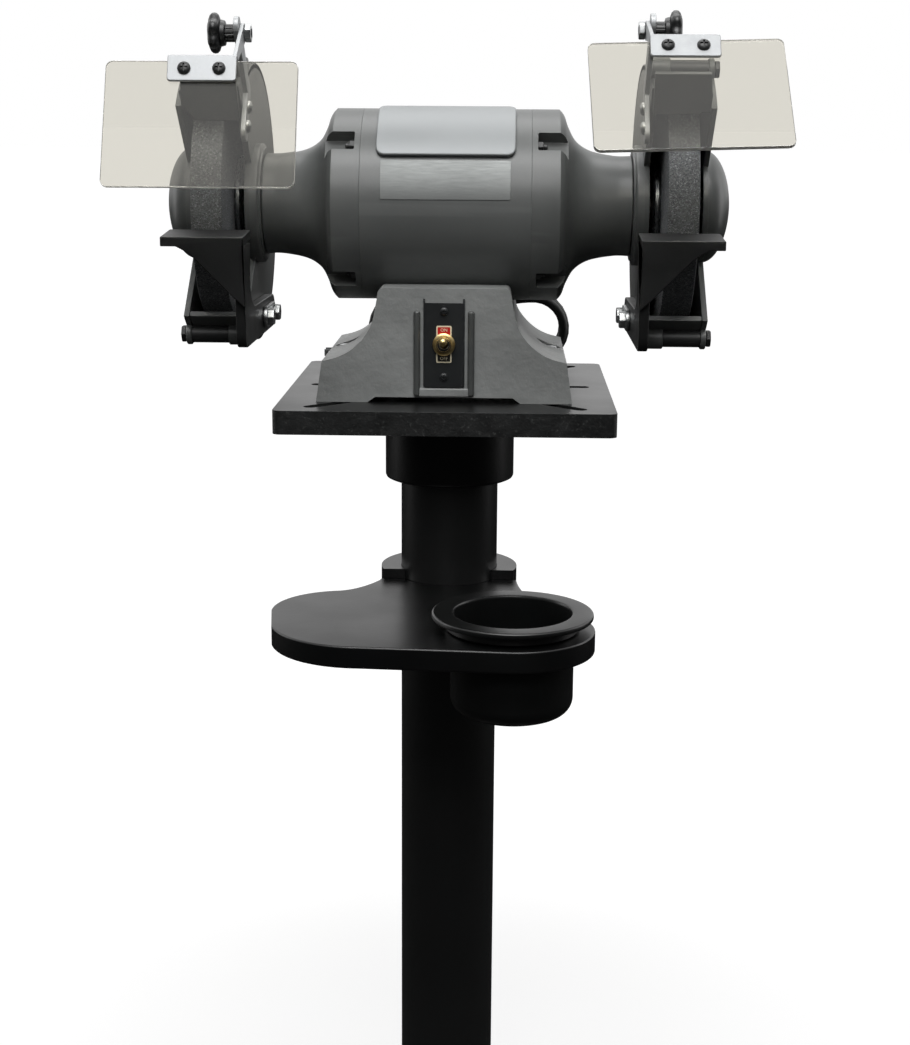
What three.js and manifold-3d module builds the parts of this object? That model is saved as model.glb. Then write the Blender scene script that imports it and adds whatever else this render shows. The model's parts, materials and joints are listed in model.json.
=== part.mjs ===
// An eight inch bench grinder bolted to its cast pedestal stand, in millimetres, +Z up.
// The origin is on the floor, on the axis of the column. The user stands at -Y.
import * as THREE from 'three';
import { mergeVertices } from 'three/addons/utils/BufferGeometryUtils.js';
import Module from 'manifold-3d';

const wasm = await Module();
wasm.setup();

// Facets of round faces, and steps of each arc of an outline
const roundLarge = 30;
const roundMedium = 20;
const roundSmall = 8;
const arcLarge = 10;
const arcSmall = 3;
const hexSides = 6;

// Clearances
const gap = 0.3;
const runGap = 0.8;

// Sizes of bolt heads, nuts and washers as shares of the bolt's radius
const hexShare = 1.65;
const washerShare = 2.4;
const wellShare = 2.6;
const barShare = 3.6;
const stemShare = 1.7;

// Stand
const tableTop = 800;
const tableWidth = 278;
const tableDepth = 300;
const tableThick = 19.5;
const tableCorner = 7;
const bossRadius = 57;
const bossHeight = 62;
const columnRadius = 43;
const columnWall = 4;
const setScrewRadius = 5;
const setScrewHead = 8;
const baseWidth = 370;
const baseDepth = 350;
const baseRim = 24;
const baseCorner = 70;
const baseDomeRadius = 150;
const baseBossTop = 118;
const baseSocketFloor = 30;

// Slots of the table
const slotWidth = 11;
const midSlotInner = 74;
const midSlotOuter = 117;
const boltY = -4;
const cornerSlotX = 110;
const cornerSlotY = 127;
const cornerSlotRun = 26;

// Tool tray and quench pot
const trayTop = 628;
const trayThick = 18;
const trayFrontY = -231;
const trayLeftX = -145;
const trayBackY = -62;
const trayCorner = 62;
const potX = 57;
const potY = -172;
const potRingRadius = 67;
const ringLean = 0.9;
const potRimRadius = 65.5;
const potBodyRadius = 50;
const potWall = 2.5;
const potRimThick = 5;
const potStandUp = 9;
const potBottom = 557.5;
const potFillet = 14;
const clampRadius = 61;
const clampSplitY = -20;
const clampRise = 8.5;
const clampBoltRadius = 3;
const clampBoltX = 52.5;
const clampBoltReach = 20;
const clampHeadShare = 1.7;
const clampSeatRadius = 6.4;
const clampSeatY = 4;

// Grinder base, heights above the table; the grinder sits a little left of the column
const grinderX = -2;
const footHalfWidth = 106;
const footTopX = 101;
const footHeight = 34;
const pedestalHalf = 54;
const pedestalHeight = 94.5;
const baseFrontY = -102;
const baseBackY = 78;
const baseWall = 7;
const archHalf = 62;
const archHeight = 4.5;
const baseBoltX = 88;
const baseBoltRadius = 4;
const baseBoltSeat = 30;
const ribX = 19.5;
const ribWidth = 5.5;
const ribProud = 3.5;
const ribBottom = 5.5;
const sillTop = 12.5;
const ribTop = 76.5;

// Switch
const switchWidth = 34;
const switchBottom = 13.5;
const switchTop = 82.8;
const switchThick = 2;
const switchBodyWidth = 22;
const switchBodyHeight = 38;
const switchBodyDepth = 30;
const leverZ = 49;
const bushRadius = 6;
const bushLength = 9;
const nutFlats = 9;
const nutThick = 3;
const leverRadius = 2.2;
const leverTip = 3.6;
const leverReach = 20;
const bushMouth = 4;
const leverPivotIn = 2;
const leverLift = 11;

// Motor
const axisY = -15;
const axisZ = 157.5;
const motorRadius = 80;
const frameHalf = 70;
const frameWall = 8;
const bellRimEnd = 94;
const neckRadius = 42;
const neckEnd = 155;
const statorInner = 46;
const statorHalf = 42;
const rotorHalf = 44;
const bearingRadius = 23.5;
const bearingWidth = 14;
const bearingInset = 2;
const shaftRadius = 10;
const arborRadius = 7.9;
const badgeHalf = 57;
const badgeFrom = 31;
const badgeTo = 78;
const badgeThick = 4;
const capacitorRadius = 17;
const capacitorLength = 60;

// Wheels, distances from the middle of the machine
const wheelX = 191;
const wheelRadius = 101.6;
const wheelWidth = 25.4;
const flangeRadius = 40;
const flangeThick = 6.2;
const arborNutFlats = 13.5;
const arborNutThick = 12;

// Guards
const guardIn = 163;
const guardOut = 216.5;
const guardPlate = 5;
const coverPlate = 4.7;
const guardRadius = 116;
const guardWall = 5;
const hubRadius = 50;
const hubBore = 24.5;
const openUp = 43.5;
const openDown = -50;
const openDownHub = -63;
const domeRadius = 47;
const domeTip = 238.5;
const domeWall = 3;
const sparkFlangeTop = 138;
const sparkFlangeThick = 4;
const lugRadius = 9;
const lugReach = 120.4;
const lugAngle = -61;
const topLugAngle = 67;
const lugLength = 18;
const coverBoltRadius = 4;

// Spark arresters
const sparkInner = 104.5;
const sparkOuter = 148.3;
const sparkOut = { left: -1.5, right: 8.3 };
const sparkThick = 3;
const sparkMargin = 0.6;

// Tool rests
const restIn = 155;
const restOut = 220;
const restBackY = -121;
const restFrontY = -163;
const restTopBack = 141.5;
const restTopFront = 138.2;
const restThick = 7.5;
const restArmThick = 7.7;
const restArmBottom = 50;
const restFootTop = 79;
const restFootBackY = 22;
const restArmBackY = -127;
const webThick = 8;
const webOut = 210;
const webBottom = 92;
const webFrontIn = 2;
const restSlotZ = 64;
const restSlotFromY = -58;
const restSlotToY = 15;
const restSlotWidth = 9;
const restBoltY = [-47, -9];
const restBoltRadius = 4;
const restBarThick = 3;

// Eye shields
const pivotY = -127;
const pivotZ = { left: 293, right: 296.5 };
const armOut = 162.7;
const armThick = 4;
const armWidth = 15;
const armTip = [-103, 217];
const armBend = [-84, 249];
const armOver = 7;
const earThick = 3;
const earIn = 155.4;
const bracketOut = 208;
const flangeFront = -33.6;
const flangeTop = -33;
const shelfThick = 2.2;
const flangeBottom = -53.8;
const shieldIn = 109;
const shieldWidth = 146.5;
const shieldHeight = 100;
const shieldThick = 3.5;
const shieldTop = -36.6;
const shieldCorner = 5.5;
const shieldTilt = { left: 22.4, right: 39.1 };
const sheetTurn = { left: 0, right: 2.2 };
const knobRadius = 15.5;
const knobThick = 9.5;
const knobLobes = 6;
const knobStem = 10.8;
const knobBoltRadius = 4;

// Power cord
const cordRadius = 4;
const cordSides = 6;
const reliefX = 46;
const reliefLength = 22;
const reliefRadius = 7.5;
const leadStraight = 8;
const leadBend = 32;
const hankX = 17;
const hankRun = 120;
const hankInner = 24;
const hankOuter = 33;
const hankWaist = 7;
const layerStep = 9;
const hankLayers = 4;
const stepsPerLoop = 24;
const plugY = 92.5;
const plugRadius = 13.5;
const plugEntryX = -48;
const plugSleeve = 20;
const plugBody = 34;
const bladeLength = 16;
const bladeGap = 12.7;

// Colours and finishes
function finish(color, roughness, metalness) {
  return new THREE.MeshStandardMaterial({ color, roughness, metalness });
}
const blackPaint = finish(0x1b1c1d, 0.45, 0.1);
const greyPaint = finish(0x6d6f6e, 0.6, 0.1);
const darkPaint = finish(0x2a2b2c, 0.55, 0.1);
const steel = finish(0x9b9d9f, 0.35, 1);
const zinc = finish(0xc9cbcd, 0.3, 1);
const copper = finish(0x9a5a33, 0.4, 1);
const abrasive = finish(0x55575a, 0.95, 0);
const clearPlate = finish(0xd9d6ca, 0.08, 0);
const blackPlastic = finish(0x17181a, 0.4, 0);
const brassFinish = finish(0xb9a36b, 0.35, 1);
const rubberBlack = finish(0x202123, 0.75, 0);
const badgeFinish = finish(0xcfd0d1, 0.35, 0.9);

// Solids: geometry to manifold and back
function signedVolume(position, index) {
  const a = new THREE.Vector3();
  const b = new THREE.Vector3();
  const c = new THREE.Vector3();
  let sum = 0;
  for (let i = 0; i < index.length; i += 3) {
    a.fromArray(position, 3 * index[i]);
    b.fromArray(position, 3 * index[i + 1]);
    c.fromArray(position, 3 * index[i + 2]);
    sum += a.dot(b.cross(c));
  }
  return sum / 6;
}

function solidOf(geometry) {
  const bare = geometry.clone();
  bare.deleteAttribute('normal');
  bare.deleteAttribute('uv');
  const merged = mergeVertices(bare, 1e-4);
  const triangles = [];
  const index = merged.index.array;
  for (let i = 0; i < index.length; i += 3) {
    const [a, b, c] = [index[i], index[i + 1], index[i + 2]];
    if (a !== b && b !== c && c !== a) triangles.push(a, b, c);
  }
  const position = merged.attributes.position.array;
  if (signedVolume(position, triangles) < 0) triangles.reverse();
  return new wasm.Manifold(new wasm.Mesh({
    numProp: 3,
    vertProperties: new Float32Array(position),
    triVerts: new Uint32Array(triangles),
  }));
}

function geometryOf(solid, side = 1) {
  const mesh = solid.getMesh();
  const position = Float32Array.from(mesh.vertProperties);
  const index = Array.from(mesh.triVerts);
  if (side < 0) {
    for (let i = 0; i < position.length; i += 3) position[i] = -position[i];
    index.reverse();
  }
  const geometry = new THREE.BufferGeometry();
  geometry.setAttribute('position', new THREE.BufferAttribute(position, 3));
  geometry.setIndex(index);
  geometry.computeVertexNormals();
  return geometry;
}

function join(first, ...others) {
  return others.reduce((sum, other) => sum.add(other), first);
}

function cut(body, ...tools) {
  return tools.reduce((rest, tool) => rest.subtract(tool), body);
}

// Shapes: a box by its corners, a prism along an axis, a turned piece, a cylinder
const radians = THREE.MathUtils.degToRad;

function box(x, y, z) {
  const geometry = new THREE.BoxGeometry(x[1] - x[0], y[1] - y[0], z[1] - z[0]);
  geometry.translate((x[0] + x[1]) / 2, (y[0] + y[1]) / 2, (z[0] + z[1]) / 2);
  return solidOf(geometry);
}

const prismBasis = {
  x: new THREE.Matrix4().set(0, 0, 1, 0, 1, 0, 0, 0, 0, 1, 0, 0, 0, 0, 0, 1),
  y: new THREE.Matrix4().set(1, 0, 0, 0, 0, 0, -1, 0, 0, 1, 0, 0, 0, 0, 0, 1),
  z: new THREE.Matrix4(),
};

// The outline is in (y, z) for a prism along x, in (x, z) along y and in (x, y) along z.
function prism(axis, outline, from, to, curveSegments = arcSmall) {
  const isList = Array.isArray(outline);
  const shape = isList ? new THREE.Shape(outline.map(([u, v]) => new THREE.Vector2(u, v))) : outline;
  const geometry = new THREE.ExtrudeGeometry(shape, { depth: to - from, bevelEnabled: false, curveSegments });
  geometry.translate(0, 0, axis === 'y' ? -to : from);
  geometry.applyMatrix4(prismBasis[axis]);
  return solidOf(geometry);
}

// The profile lists [distance along the axis, radius].
function turned(axis, profile, segments = roundMedium) {
  const points = profile.map(([along, radius]) => new THREE.Vector2(radius, along));
  const geometry = new THREE.LatheGeometry(points, segments);
  if (axis === 'x') geometry.rotateZ(-Math.PI / 2);
  if (axis === 'z') geometry.rotateX(Math.PI / 2);
  return solidOf(geometry);
}

function at(solid, x, y, z) {
  const geometry = geometryOf(solid);
  geometry.translate(x, y, z);
  return solidOf(geometry);
}

// Turns a piece about the y axis through a point, so that its +x end rises
function turnedAbout(solid, [x, y, z], degrees) {
  return solid.translate([-x, -y, -z]).rotate([0, -degrees, 0]).translate([x, y, z]);
}

function rod(axis, radius, from, to, centre, segments = roundSmall) {
  const solid = turned(axis, [[from, 0], [from, radius], [to, radius], [to, 0]], segments);
  if (axis === 'x') return at(solid, 0, centre[0], centre[1]);
  if (axis === 'y') return at(solid, centre[0], 0, centre[1]);
  return at(solid, centre[0], centre[1], 0);
}

function hexRod(axis, flats, from, to, centre) {
  return rod(axis, flats / Math.cos(Math.PI / 6), from, to, centre, hexSides);
}

function roundedRect(halfX, halfY, corner, centreX = 0, centreY = 0) {
  const shape = new THREE.Shape();
  const [x, y] = [halfX - corner, halfY - corner];
  shape.absarc(centreX + x, centreY - y, corner, -Math.PI / 2, 0);
  shape.absarc(centreX + x, centreY + y, corner, 0, Math.PI / 2);
  shape.absarc(centreX - x, centreY + y, corner, Math.PI / 2, Math.PI);
  shape.absarc(centreX - x, centreY - y, corner, Math.PI, 1.5 * Math.PI);
  shape.closePath();
  return shape;
}

function slotShape(from, to, width) {
  const angle = Math.atan2(to[1] - from[1], to[0] - from[0]);
  const shape = new THREE.Shape();
  shape.absarc(to[0], to[1], width / 2, angle - Math.PI / 2, angle + Math.PI / 2);
  shape.absarc(from[0], from[1], width / 2, angle + Math.PI / 2, angle + 1.5 * Math.PI);
  shape.closePath();
  return shape;
}

// The assembly
const assembly = new THREE.Group();
const stand = new THREE.Group();
const grinder = new THREE.Group();
grinder.position.set(grinderX, 0, tableTop);
assembly.add(stand, grinder);

function piece(parent, name, solid, material, side = 1) {
  const mesh = new THREE.Mesh(geometryOf(solid, side), material);
  mesh.name = name;
  parent.add(mesh);
  return mesh;
}

// Floor base: a rounded slab that rises to a socket for the column
function floorBase() {
  const slab = prism('z', roundedRect(baseWidth / 2, baseDepth / 2, baseCorner), 0, baseRim, arcSmall);
  const rise = baseBossTop - baseRim;
  const dome = [[baseRim - 2, 0], [baseRim - 2, baseDomeRadius]];
  for (let i = 1; i <= 4; i += 1) {
    const t = i / 4;
    const swing = 1 - Math.sin(t * Math.PI / 2);
    dome.push([baseRim + 0.62 * rise * t * t, bossRadius + 4 + (baseDomeRadius - bossRadius - 4) * swing]);
  }
  dome.push([baseBossTop, bossRadius], [baseBossTop, 0]);
  const socket = rod('z', columnRadius + gap, baseSocketFloor, baseBossTop + 1, [0, 0], roundMedium);
  const screwHole = rod('y', setScrewRadius + gap, 0, 2 * bossRadius, [0, screwHeight.base], roundSmall);
  return cut(join(slab, turned('z', dome, roundMedium)), socket, screwHole);
}

// Table: a slotted plate with a socket below it
function tableCasting() {
  const underside = tableTop - tableThick;
  const outline = roundedRect(tableWidth / 2, tableDepth / 2, tableCorner);
  const plate = prism('z', outline, underside, tableTop, arcSmall);
  const boss = rod('z', bossRadius, underside - bossHeight, underside + 1, [0, 0], roundMedium);
  const socket = rod('z', columnRadius + gap, underside - bossHeight - 1, underside, [0, 0], roundMedium);
  const screwHole = rod('y', setScrewRadius + gap, 0, 2 * bossRadius, [0, screwHeight.table], roundSmall);
  const slots = [];
  for (const sx of [-1, 1]) {
    slots.push(slotShape([sx * midSlotInner, boltY], [sx * midSlotOuter, boltY], slotWidth));
    for (const sy of [-1, 1]) {
      const outer = [sx * cornerSlotX, sy * cornerSlotY];
      const inner = [outer[0] - sx * cornerSlotRun, outer[1] - sy * cornerSlotRun];
      slots.push(slotShape(inner, outer, slotWidth));
    }
  }
  const cuts = slots.map((slot) => prism('z', slot, underside - 1, tableTop + 1, arcSmall));
  return cut(join(plate, boss), socket, screwHole, ...cuts);
}

function setScrew(height) {
  const shank = rod('y', setScrewRadius, columnRadius + gap, bossRadius + 6, [0, height], roundSmall);
  const head = hexRod('y', setScrewHead, bossRadius + 5, bossRadius + 5 + setScrewHead, [0, height]);
  return join(shank, head);
}

const screwHeight = {
  base: baseBossTop - 18,
  table: tableTop - tableThick - bossHeight / 2,
};
const columnTop = tableTop - tableThick - gap;
const columnBottom = baseSocketFloor + gap;

function column() {
  const outer = rod('z', columnRadius, columnBottom, columnTop, [0, 0], roundMedium);
  const inner = columnRadius - columnWall;
  return cut(outer, rod('z', inner, columnBottom - 1, columnTop + 1, [0, 0], roundMedium));
}

// Tool tray: one flat lobe, a ring for the pot and half of the column clamp
function trayOutline() {
  const shape = new THREE.Shape();
  const frontArc = trayCorner + 14;
  const [ear, ring] = [clampRadius, potRingRadius];
  const frontX = trayLeftX + frontArc + 4;
  shape.absarc(frontX, trayFrontY + frontArc, frontArc, 1.5 * Math.PI, 1.08 * Math.PI, true);
  shape.absarc(trayLeftX + trayCorner, trayBackY - trayCorner, trayCorner, Math.PI, 0.55 * Math.PI, true);
  shape.quadraticCurveTo(-ear - 14, trayBackY + 6, -ear, clampSplitY - 4);
  shape.lineTo(-ear, clampSplitY);
  shape.lineTo(ear, clampSplitY);
  const ringEnd = [potX + ring * Math.cos(ringLean), potY + ring * Math.sin(ringLean)];
  shape.quadraticCurveTo(ear + 4, potY + ring + 22, ...ringEnd);
  shape.absarc(potX, potY, ring, ringLean, -Math.PI / 2, true);
  shape.closePath();
  return shape;
}

function toolTray() {
  const under = trayTop - trayThick;
  const plate = prism('z', trayOutline(), under, trayTop, arcSmall + 2);
  const potHole = rod('z', potBodyRadius + runGap, under - 1, trayTop + 1, [potX, potY], roundMedium);
  const bore = rod('z', columnRadius + gap, under - 1, trayTop + 1, [0, 0], roundMedium);
  const bolts = [-1, 1].map((s) => clampBoltHole(s));
  return cut(plate, potHole, bore, ...bolts);
}

function clampBoltHole(side) {
  const centre = [side * clampBoltX, trayTop - trayThick / 2];
  return rod('y', clampBoltRadius + gap, clampSplitY - clampBoltReach - 1, clampRadius, centre, roundSmall);
}

// Rear clamp: the other half of the ring, a little taller than the tray
function rearClamp() {
  const shape = new THREE.Shape();
  const split = clampSplitY + 2 * gap;
  const start = Math.asin(split / clampRadius);
  shape.absarc(0, 0, clampRadius, start, Math.PI - start);
  shape.closePath();
  const [under, top] = [trayTop - trayThick, trayTop + clampRise];
  const ring = prism('z', shape, under, top, arcLarge);
  const bore = rod('z', columnRadius + gap, under - 1, top + 1, [0, 0], roundMedium);
  const seats = [-1, 1].map((s) => rod(
    'y',
    clampSeatRadius,
    clampSeatY,
    clampRadius,
    [s * clampBoltX, trayTop - trayThick / 2],
    roundSmall,
  ));
  return cut(ring, bore, ...seats, ...[-1, 1].map((s) => clampBoltHole(s)));
}

function clampBolt(side) {
  const height = trayTop - trayThick / 2;
  const centre = [side * clampBoltX, height];
  const headFrom = clampSeatY + gap;
  const shank = rod('y', clampBoltRadius, clampSplitY - clampBoltReach, headFrom + 1, centre, roundSmall);
  const head = rod('y', clampHeadShare * clampBoltRadius, headFrom, headFrom + 6, centre, roundSmall);
  return join(shank, head);
}

// Quench pot: a drawn cup that hangs in the tray by its shoulder
function quenchPot() {
  const rimTop = trayTop + potStandUp + potRimThick;
  const rimUnder = trayTop + potStandUp;
  const inner = potBodyRadius - potWall;
  const shoulder = potBodyRadius + 4;
  const profile = [[potBottom, 0]];
  for (let i = 0; i <= 3; i += 1) {
    const angle = (i / 3) * Math.PI / 2;
    profile.push([
      potBottom + potFillet * (1 - Math.cos(angle)),
      potBodyRadius - potFillet * (1 - Math.sin(angle)),
    ]);
  }
  profile.push([trayTop + gap, potBodyRadius], [trayTop + gap, shoulder], [rimUnder, shoulder]);
  profile.push([rimUnder, potRimRadius], [rimTop - 1.5, potRimRadius], [rimTop, potRimRadius - 1.5]);
  profile.push([rimTop, inner + 1], [rimTop - 1, inner], [potBottom + potFillet, inner]);
  for (let i = 2; i >= 0; i -= 1) {
    const angle = (i / 3) * Math.PI / 2;
    const fillet = potFillet - potWall;
    profile.push([
      potBottom + potWall + fillet * (1 - Math.cos(angle)),
      inner - fillet * (1 - Math.sin(angle)),
    ]);
  }
  profile.push([potBottom + potWall, 0]);
  return at(turned('z', profile, roundMedium), potX, potY, 0);
}

piece(stand, 'floor_base', floorBase(), blackPaint);
piece(stand, 'column', column(), blackPaint);
piece(stand, 'table_casting', tableCasting(), blackPaint);
piece(stand, 'base_set_screw', setScrew(screwHeight.base), steel);
piece(stand, 'table_set_screw', setScrew(screwHeight.table), steel);
piece(stand, 'tool_tray', toolTray(), blackPaint);
piece(stand, 'tray_rear_clamp', rearClamp(), blackPaint);
piece(stand, 'tray_clamp_bolt_left', clampBolt(-1), steel);
piece(stand, 'tray_clamp_bolt_right', clampBolt(1), steel);
piece(stand, 'quench_pot', quenchPot(), darkPaint);

// Grinder base: a hollow casting with two low feet and a pedestal under the motor
function baseOutline(inset) {
  const rise = inset > 0 ? inset : 0;
  const flank = [
    [footTopX, footHeight],
    [footTopX - 12, footHeight + 3],
    [footTopX - 23, footHeight + 8.5],
    [pedestalHalf + 13.5, footHeight + 18],
    [pedestalHalf + 6, footHeight + 30],
    [pedestalHalf + 1.5, footHeight + 50],
    [pedestalHalf, pedestalHeight],
  ];
  const right = [[footHalfWidth - inset, 0], ...flank.map(([x, z]) => [x - inset, z - rise])];
  const left = right.map(([x, z]) => [-x, z]).reverse();
  return [...right, ...left];
}

const switchOpening = {
  x: [-switchBodyWidth / 2 - 1, switchBodyWidth / 2 + 1],
  z: [leverZ - switchBodyHeight / 2 - 1, leverZ + switchBodyHeight / 2 + 1],
};
const reliefZ = gap + hankOuter + cordRadius;
const hankZ = reliefZ;

function grinderBase() {
  const outer = prism('y', baseOutline(0), baseFrontY, baseBackY);
  const hollow = prism('y', baseOutline(baseWall), baseFrontY + baseWall, baseBackY - baseWall);
  const innerX = footHalfWidth - baseWall;
  const under = box([-innerX, innerX], [baseFrontY + baseWall, baseBackY - baseWall], [-1, 1]);
  const saddle = rod('x', motorRadius + gap, -footHalfWidth, footHalfWidth, [axisY, axisZ], roundLarge);
  const arch = box([-archHalf, archHalf], [baseFrontY - 1, baseBackY + 1], [-1, archHeight]);
  const ribs = [-1, 1].map((s) => box(
    [Math.min(s * ribX, s * (ribX + ribWidth)), Math.max(s * ribX, s * (ribX + ribWidth))],
    [baseFrontY - ribProud, baseFrontY + 1],
    [ribBottom, ribTop],
  ));
  const ribY = [baseFrontY - ribProud, baseFrontY + 1];
  const sill = box([-ribX - 1, ribX + 1], ribY, [ribBottom, sillTop]);
  const opening = box(switchOpening.x, [baseFrontY - 1, baseFrontY + baseWall + 1], switchOpening.z);
  const cordRim = reliefRadius - 2 + gap;
  const cordHole = rod('y', cordRim, baseBackY - baseWall - 1, baseBackY + 1, [reliefX, reliefZ], roundSmall);
  const shell = cut(join(outer, ...ribs, sill), hollow, under, arch, saddle, opening, cordHole);
  const bolts = [[-baseBoltX, boltY], [baseBoltX, boltY]];
  const well = wellShare * baseBoltRadius;
  const pads = bolts.map((centre) => rod('z', well, 0, baseBoltSeat, centre, roundSmall));
  const drill = baseBoltRadius + gap;
  const holes = bolts.map((centre) => rod('z', drill, -1, baseBoltSeat + 1, centre, roundSmall));
  const wells = bolts.map((centre) => rod('z', well, baseBoltSeat, pedestalHeight, centre, roundSmall));
  return cut(join(shell, ...pads), ...wells, ...holes);
}

function baseBolt(side) {
  const centre = [side * baseBoltX, boltY];
  const nutTop = -tableThick - gap - 2.5;
  const shank = rod('z', baseBoltRadius, nutTop - 9, baseBoltSeat + gap + 1, centre, roundSmall);
  const head = hexRod('z', hexShare * baseBoltRadius, baseBoltSeat + gap, baseBoltSeat + gap + 5.5, centre);
  const washer = rod('z', washerShare * baseBoltRadius, nutTop, -tableThick - gap, centre, roundSmall);
  const nut = hexRod('z', hexShare * baseBoltRadius, nutTop - 6.5, nutTop + 1, centre);
  return join(shank, head, washer, nut);
}

piece(grinder, 'grinder_base', grinderBase(), greyPaint);
piece(grinder, 'base_bolt_left', baseBolt(-1), steel);
piece(grinder, 'base_bolt_right', baseBolt(1), steel);

// Switch: plate on the front, body behind it, bushing with its nut, and the lever
const switchFaceY = baseFrontY - gap - switchThick;
const leverPivotY = baseFrontY - leverPivotIn;

function switchPlate() {
  const halfX = switchWidth / 2;
  const plate = box([-halfX, halfX], [switchFaceY, baseFrontY - gap], [switchBottom, switchTop]);
  return cut(plate, rod('y', bushRadius + gap, switchFaceY - 1, baseFrontY + 1, [0, leverZ], roundMedium));
}

function switchBody() {
  const halfX = switchBodyWidth / 2;
  const halfZ = switchBodyHeight / 2;
  const bodyY = [baseFrontY, baseFrontY + switchBodyDepth];
  const body = box([-halfX, halfX], bodyY, [leverZ - halfZ, leverZ + halfZ]);
  const bushEnd = baseFrontY - bushLength;
  const bush = rod('y', bushRadius, bushEnd, baseFrontY + 1, [0, leverZ], roundMedium);
  const mouth = rod('y', bushMouth, bushEnd - 1, leverPivotY + bushMouth + 1, [0, leverZ], roundMedium);
  return cut(join(body, bush), mouth);
}

function switchNut() {
  const nut = hexRod('y', nutFlats, switchFaceY - gap - nutThick, switchFaceY - gap, [0, leverZ]);
  return cut(nut, rod('y', bushRadius + gap, switchFaceY - 20, switchFaceY + 5, [0, leverZ], roundMedium));
}

// The lever swings on a ball that sits in the mouth of the bushing, and rests tipped up.
function switchLever() {
  const ball = bushMouth - 1.5 * gap;
  const tip = baseFrontY - bushLength - leverReach;
  const profile = [[tip, 0], [tip + 0.6, leverTip - 1], [tip + 2.5, leverTip], [tip + 7, leverTip - 0.4]];
  profile.push([leverPivotY - 0.9 * ball, leverRadius]);
  for (const share of [-0.4, 0.1, 0.6]) {
    profile.push([leverPivotY + share * ball, ball * Math.sqrt(1 - share * share)]);
  }
  profile.push([leverPivotY + ball, 0]);
  const level = at(turned('y', profile, roundMedium), 0, -leverPivotY, 0);
  return at(level.rotate([-leverLift, 0, 0]), 0, leverPivotY, leverZ);
}

piece(grinder, 'switch_plate', switchPlate(), blackPaint);
piece(grinder, 'switch_body', switchBody(), blackPlastic);
piece(grinder, 'switch_nut', switchNut(), brassFinish);
piece(grinder, 'switch_lever', switchLever(), brassFinish);

// Motor: frame, stator, end bells with long necks, shaft, rotor and bearings
function motorFrame() {
  const outer = rod('x', motorRadius, -frameHalf, frameHalf, [axisY, axisZ], roundLarge);
  const inner = motorRadius - frameWall;
  return cut(outer, rod('x', inner, -frameHalf - 1, frameHalf + 1, [axisY, axisZ], roundLarge));
}

function stator() {
  const outer = rod('x', motorRadius - frameWall - gap, -statorHalf, statorHalf, [axisY, axisZ], roundLarge);
  return cut(outer, rod('x', statorInner, -statorHalf - 1, statorHalf + 1, [axisY, axisZ], roundMedium));
}

const bearingOuterX = neckEnd - bearingInset;

function endBell() {
  const rimFrom = frameHalf + gap;
  const inside = motorRadius - frameWall;
  const seat = bearingRadius + gap;
  const seatFloor = bearingOuterX - bearingWidth - gap;
  const profile = [[rimFrom, motorRadius], [bellRimEnd, motorRadius], [bellRimEnd + 4, motorRadius - 5]];
  const throat = [[0.06, 0.6], [0.18, 0.3], [0.4, 0.1], [0.75, 0]];
  const throatFrom = bellRimEnd + 4;
  for (const [along, share] of throat) {
    const radius = neckRadius + share * (motorRadius - neckRadius);
    profile.push([throatFrom + along * (neckEnd - throatFrom), radius]);
  }
  profile.push([neckEnd, neckRadius], [neckEnd, seat], [seatFloor, seat], [seatFloor, shaftRadius + 4]);
  profile.push([bellRimEnd + 14, shaftRadius + 4], [bellRimEnd - 5, inside - 10]);
  profile.push([bellRimEnd - 8, inside], [rimFrom, inside], [rimFrom, motorRadius]);
  return at(turned('x', profile, roundLarge), 0, axisY, axisZ);
}

function bearing() {
  const inner = bearingOuterX - bearingWidth;
  const ring = rod('x', bearingRadius, inner, bearingOuterX, [axisY, axisZ], roundMedium);
  return cut(ring, rod('x', shaftRadius + gap, inner - 1, bearingOuterX + 1, [axisY, axisZ], roundMedium));
}

const flangeInner = wheelX - wheelWidth / 2 - gap - flangeThick;
const nutInner = wheelX + wheelWidth / 2 + gap + flangeThick + gap;
const shaftEnd = nutInner + arborNutThick + 2;

function arborShaft() {
  const shoulder = flangeInner - gap;
  const profile = [[-shaftEnd, 0], [-shaftEnd, arborRadius], [-shoulder, arborRadius]];
  profile.push([-shoulder, shaftRadius]);
  profile.push([-rotorHalf - 20, shaftRadius], [-rotorHalf - 20, shaftRadius + 3]);
  const mirrored = profile.map(([along, radius]) => [-along, radius]).reverse();
  return at(turned('x', [...profile, ...mirrored], roundMedium), 0, axisY, axisZ);
}

function rotor() {
  const core = rod('x', statorInner - runGap, -rotorHalf, rotorHalf, [axisY, axisZ], roundMedium);
  const bore = shaftRadius + 3 + gap;
  return cut(core, rod('x', bore, -rotorHalf - 1, rotorHalf + 1, [axisY, axisZ], roundMedium));
}

// The badge is a curved plate on the upper front of the frame.
function nameBadge() {
  const ring = new THREE.Shape();
  const inner = motorRadius + gap;
  const from = radians(180 - badgeFrom);
  const to = radians(180 - badgeTo);
  ring.absarc(axisY, axisZ, inner + badgeThick, from, to, true);
  ring.absarc(axisY, axisZ, inner, to, from, false);
  ring.closePath();
  return prism('x', ring, -badgeHalf, badgeHalf, arcSmall);
}

function capacitor() {
  const height = baseWall + capacitorRadius + 4;
  const y = baseBackY - baseWall - capacitorRadius - gap;
  return rod('x', capacitorRadius, -capacitorLength / 2, capacitorLength / 2, [y, height], roundSmall);
}

piece(grinder, 'motor_frame', motorFrame(), greyPaint);
piece(grinder, 'stator', stator(), copper);
piece(grinder, 'arbor_shaft', arborShaft(), steel);
piece(grinder, 'rotor', rotor(), steel);
piece(grinder, 'name_badge', nameBadge(), badgeFinish);
piece(grinder, 'run_capacitor', capacitor(), blackPlastic);

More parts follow.
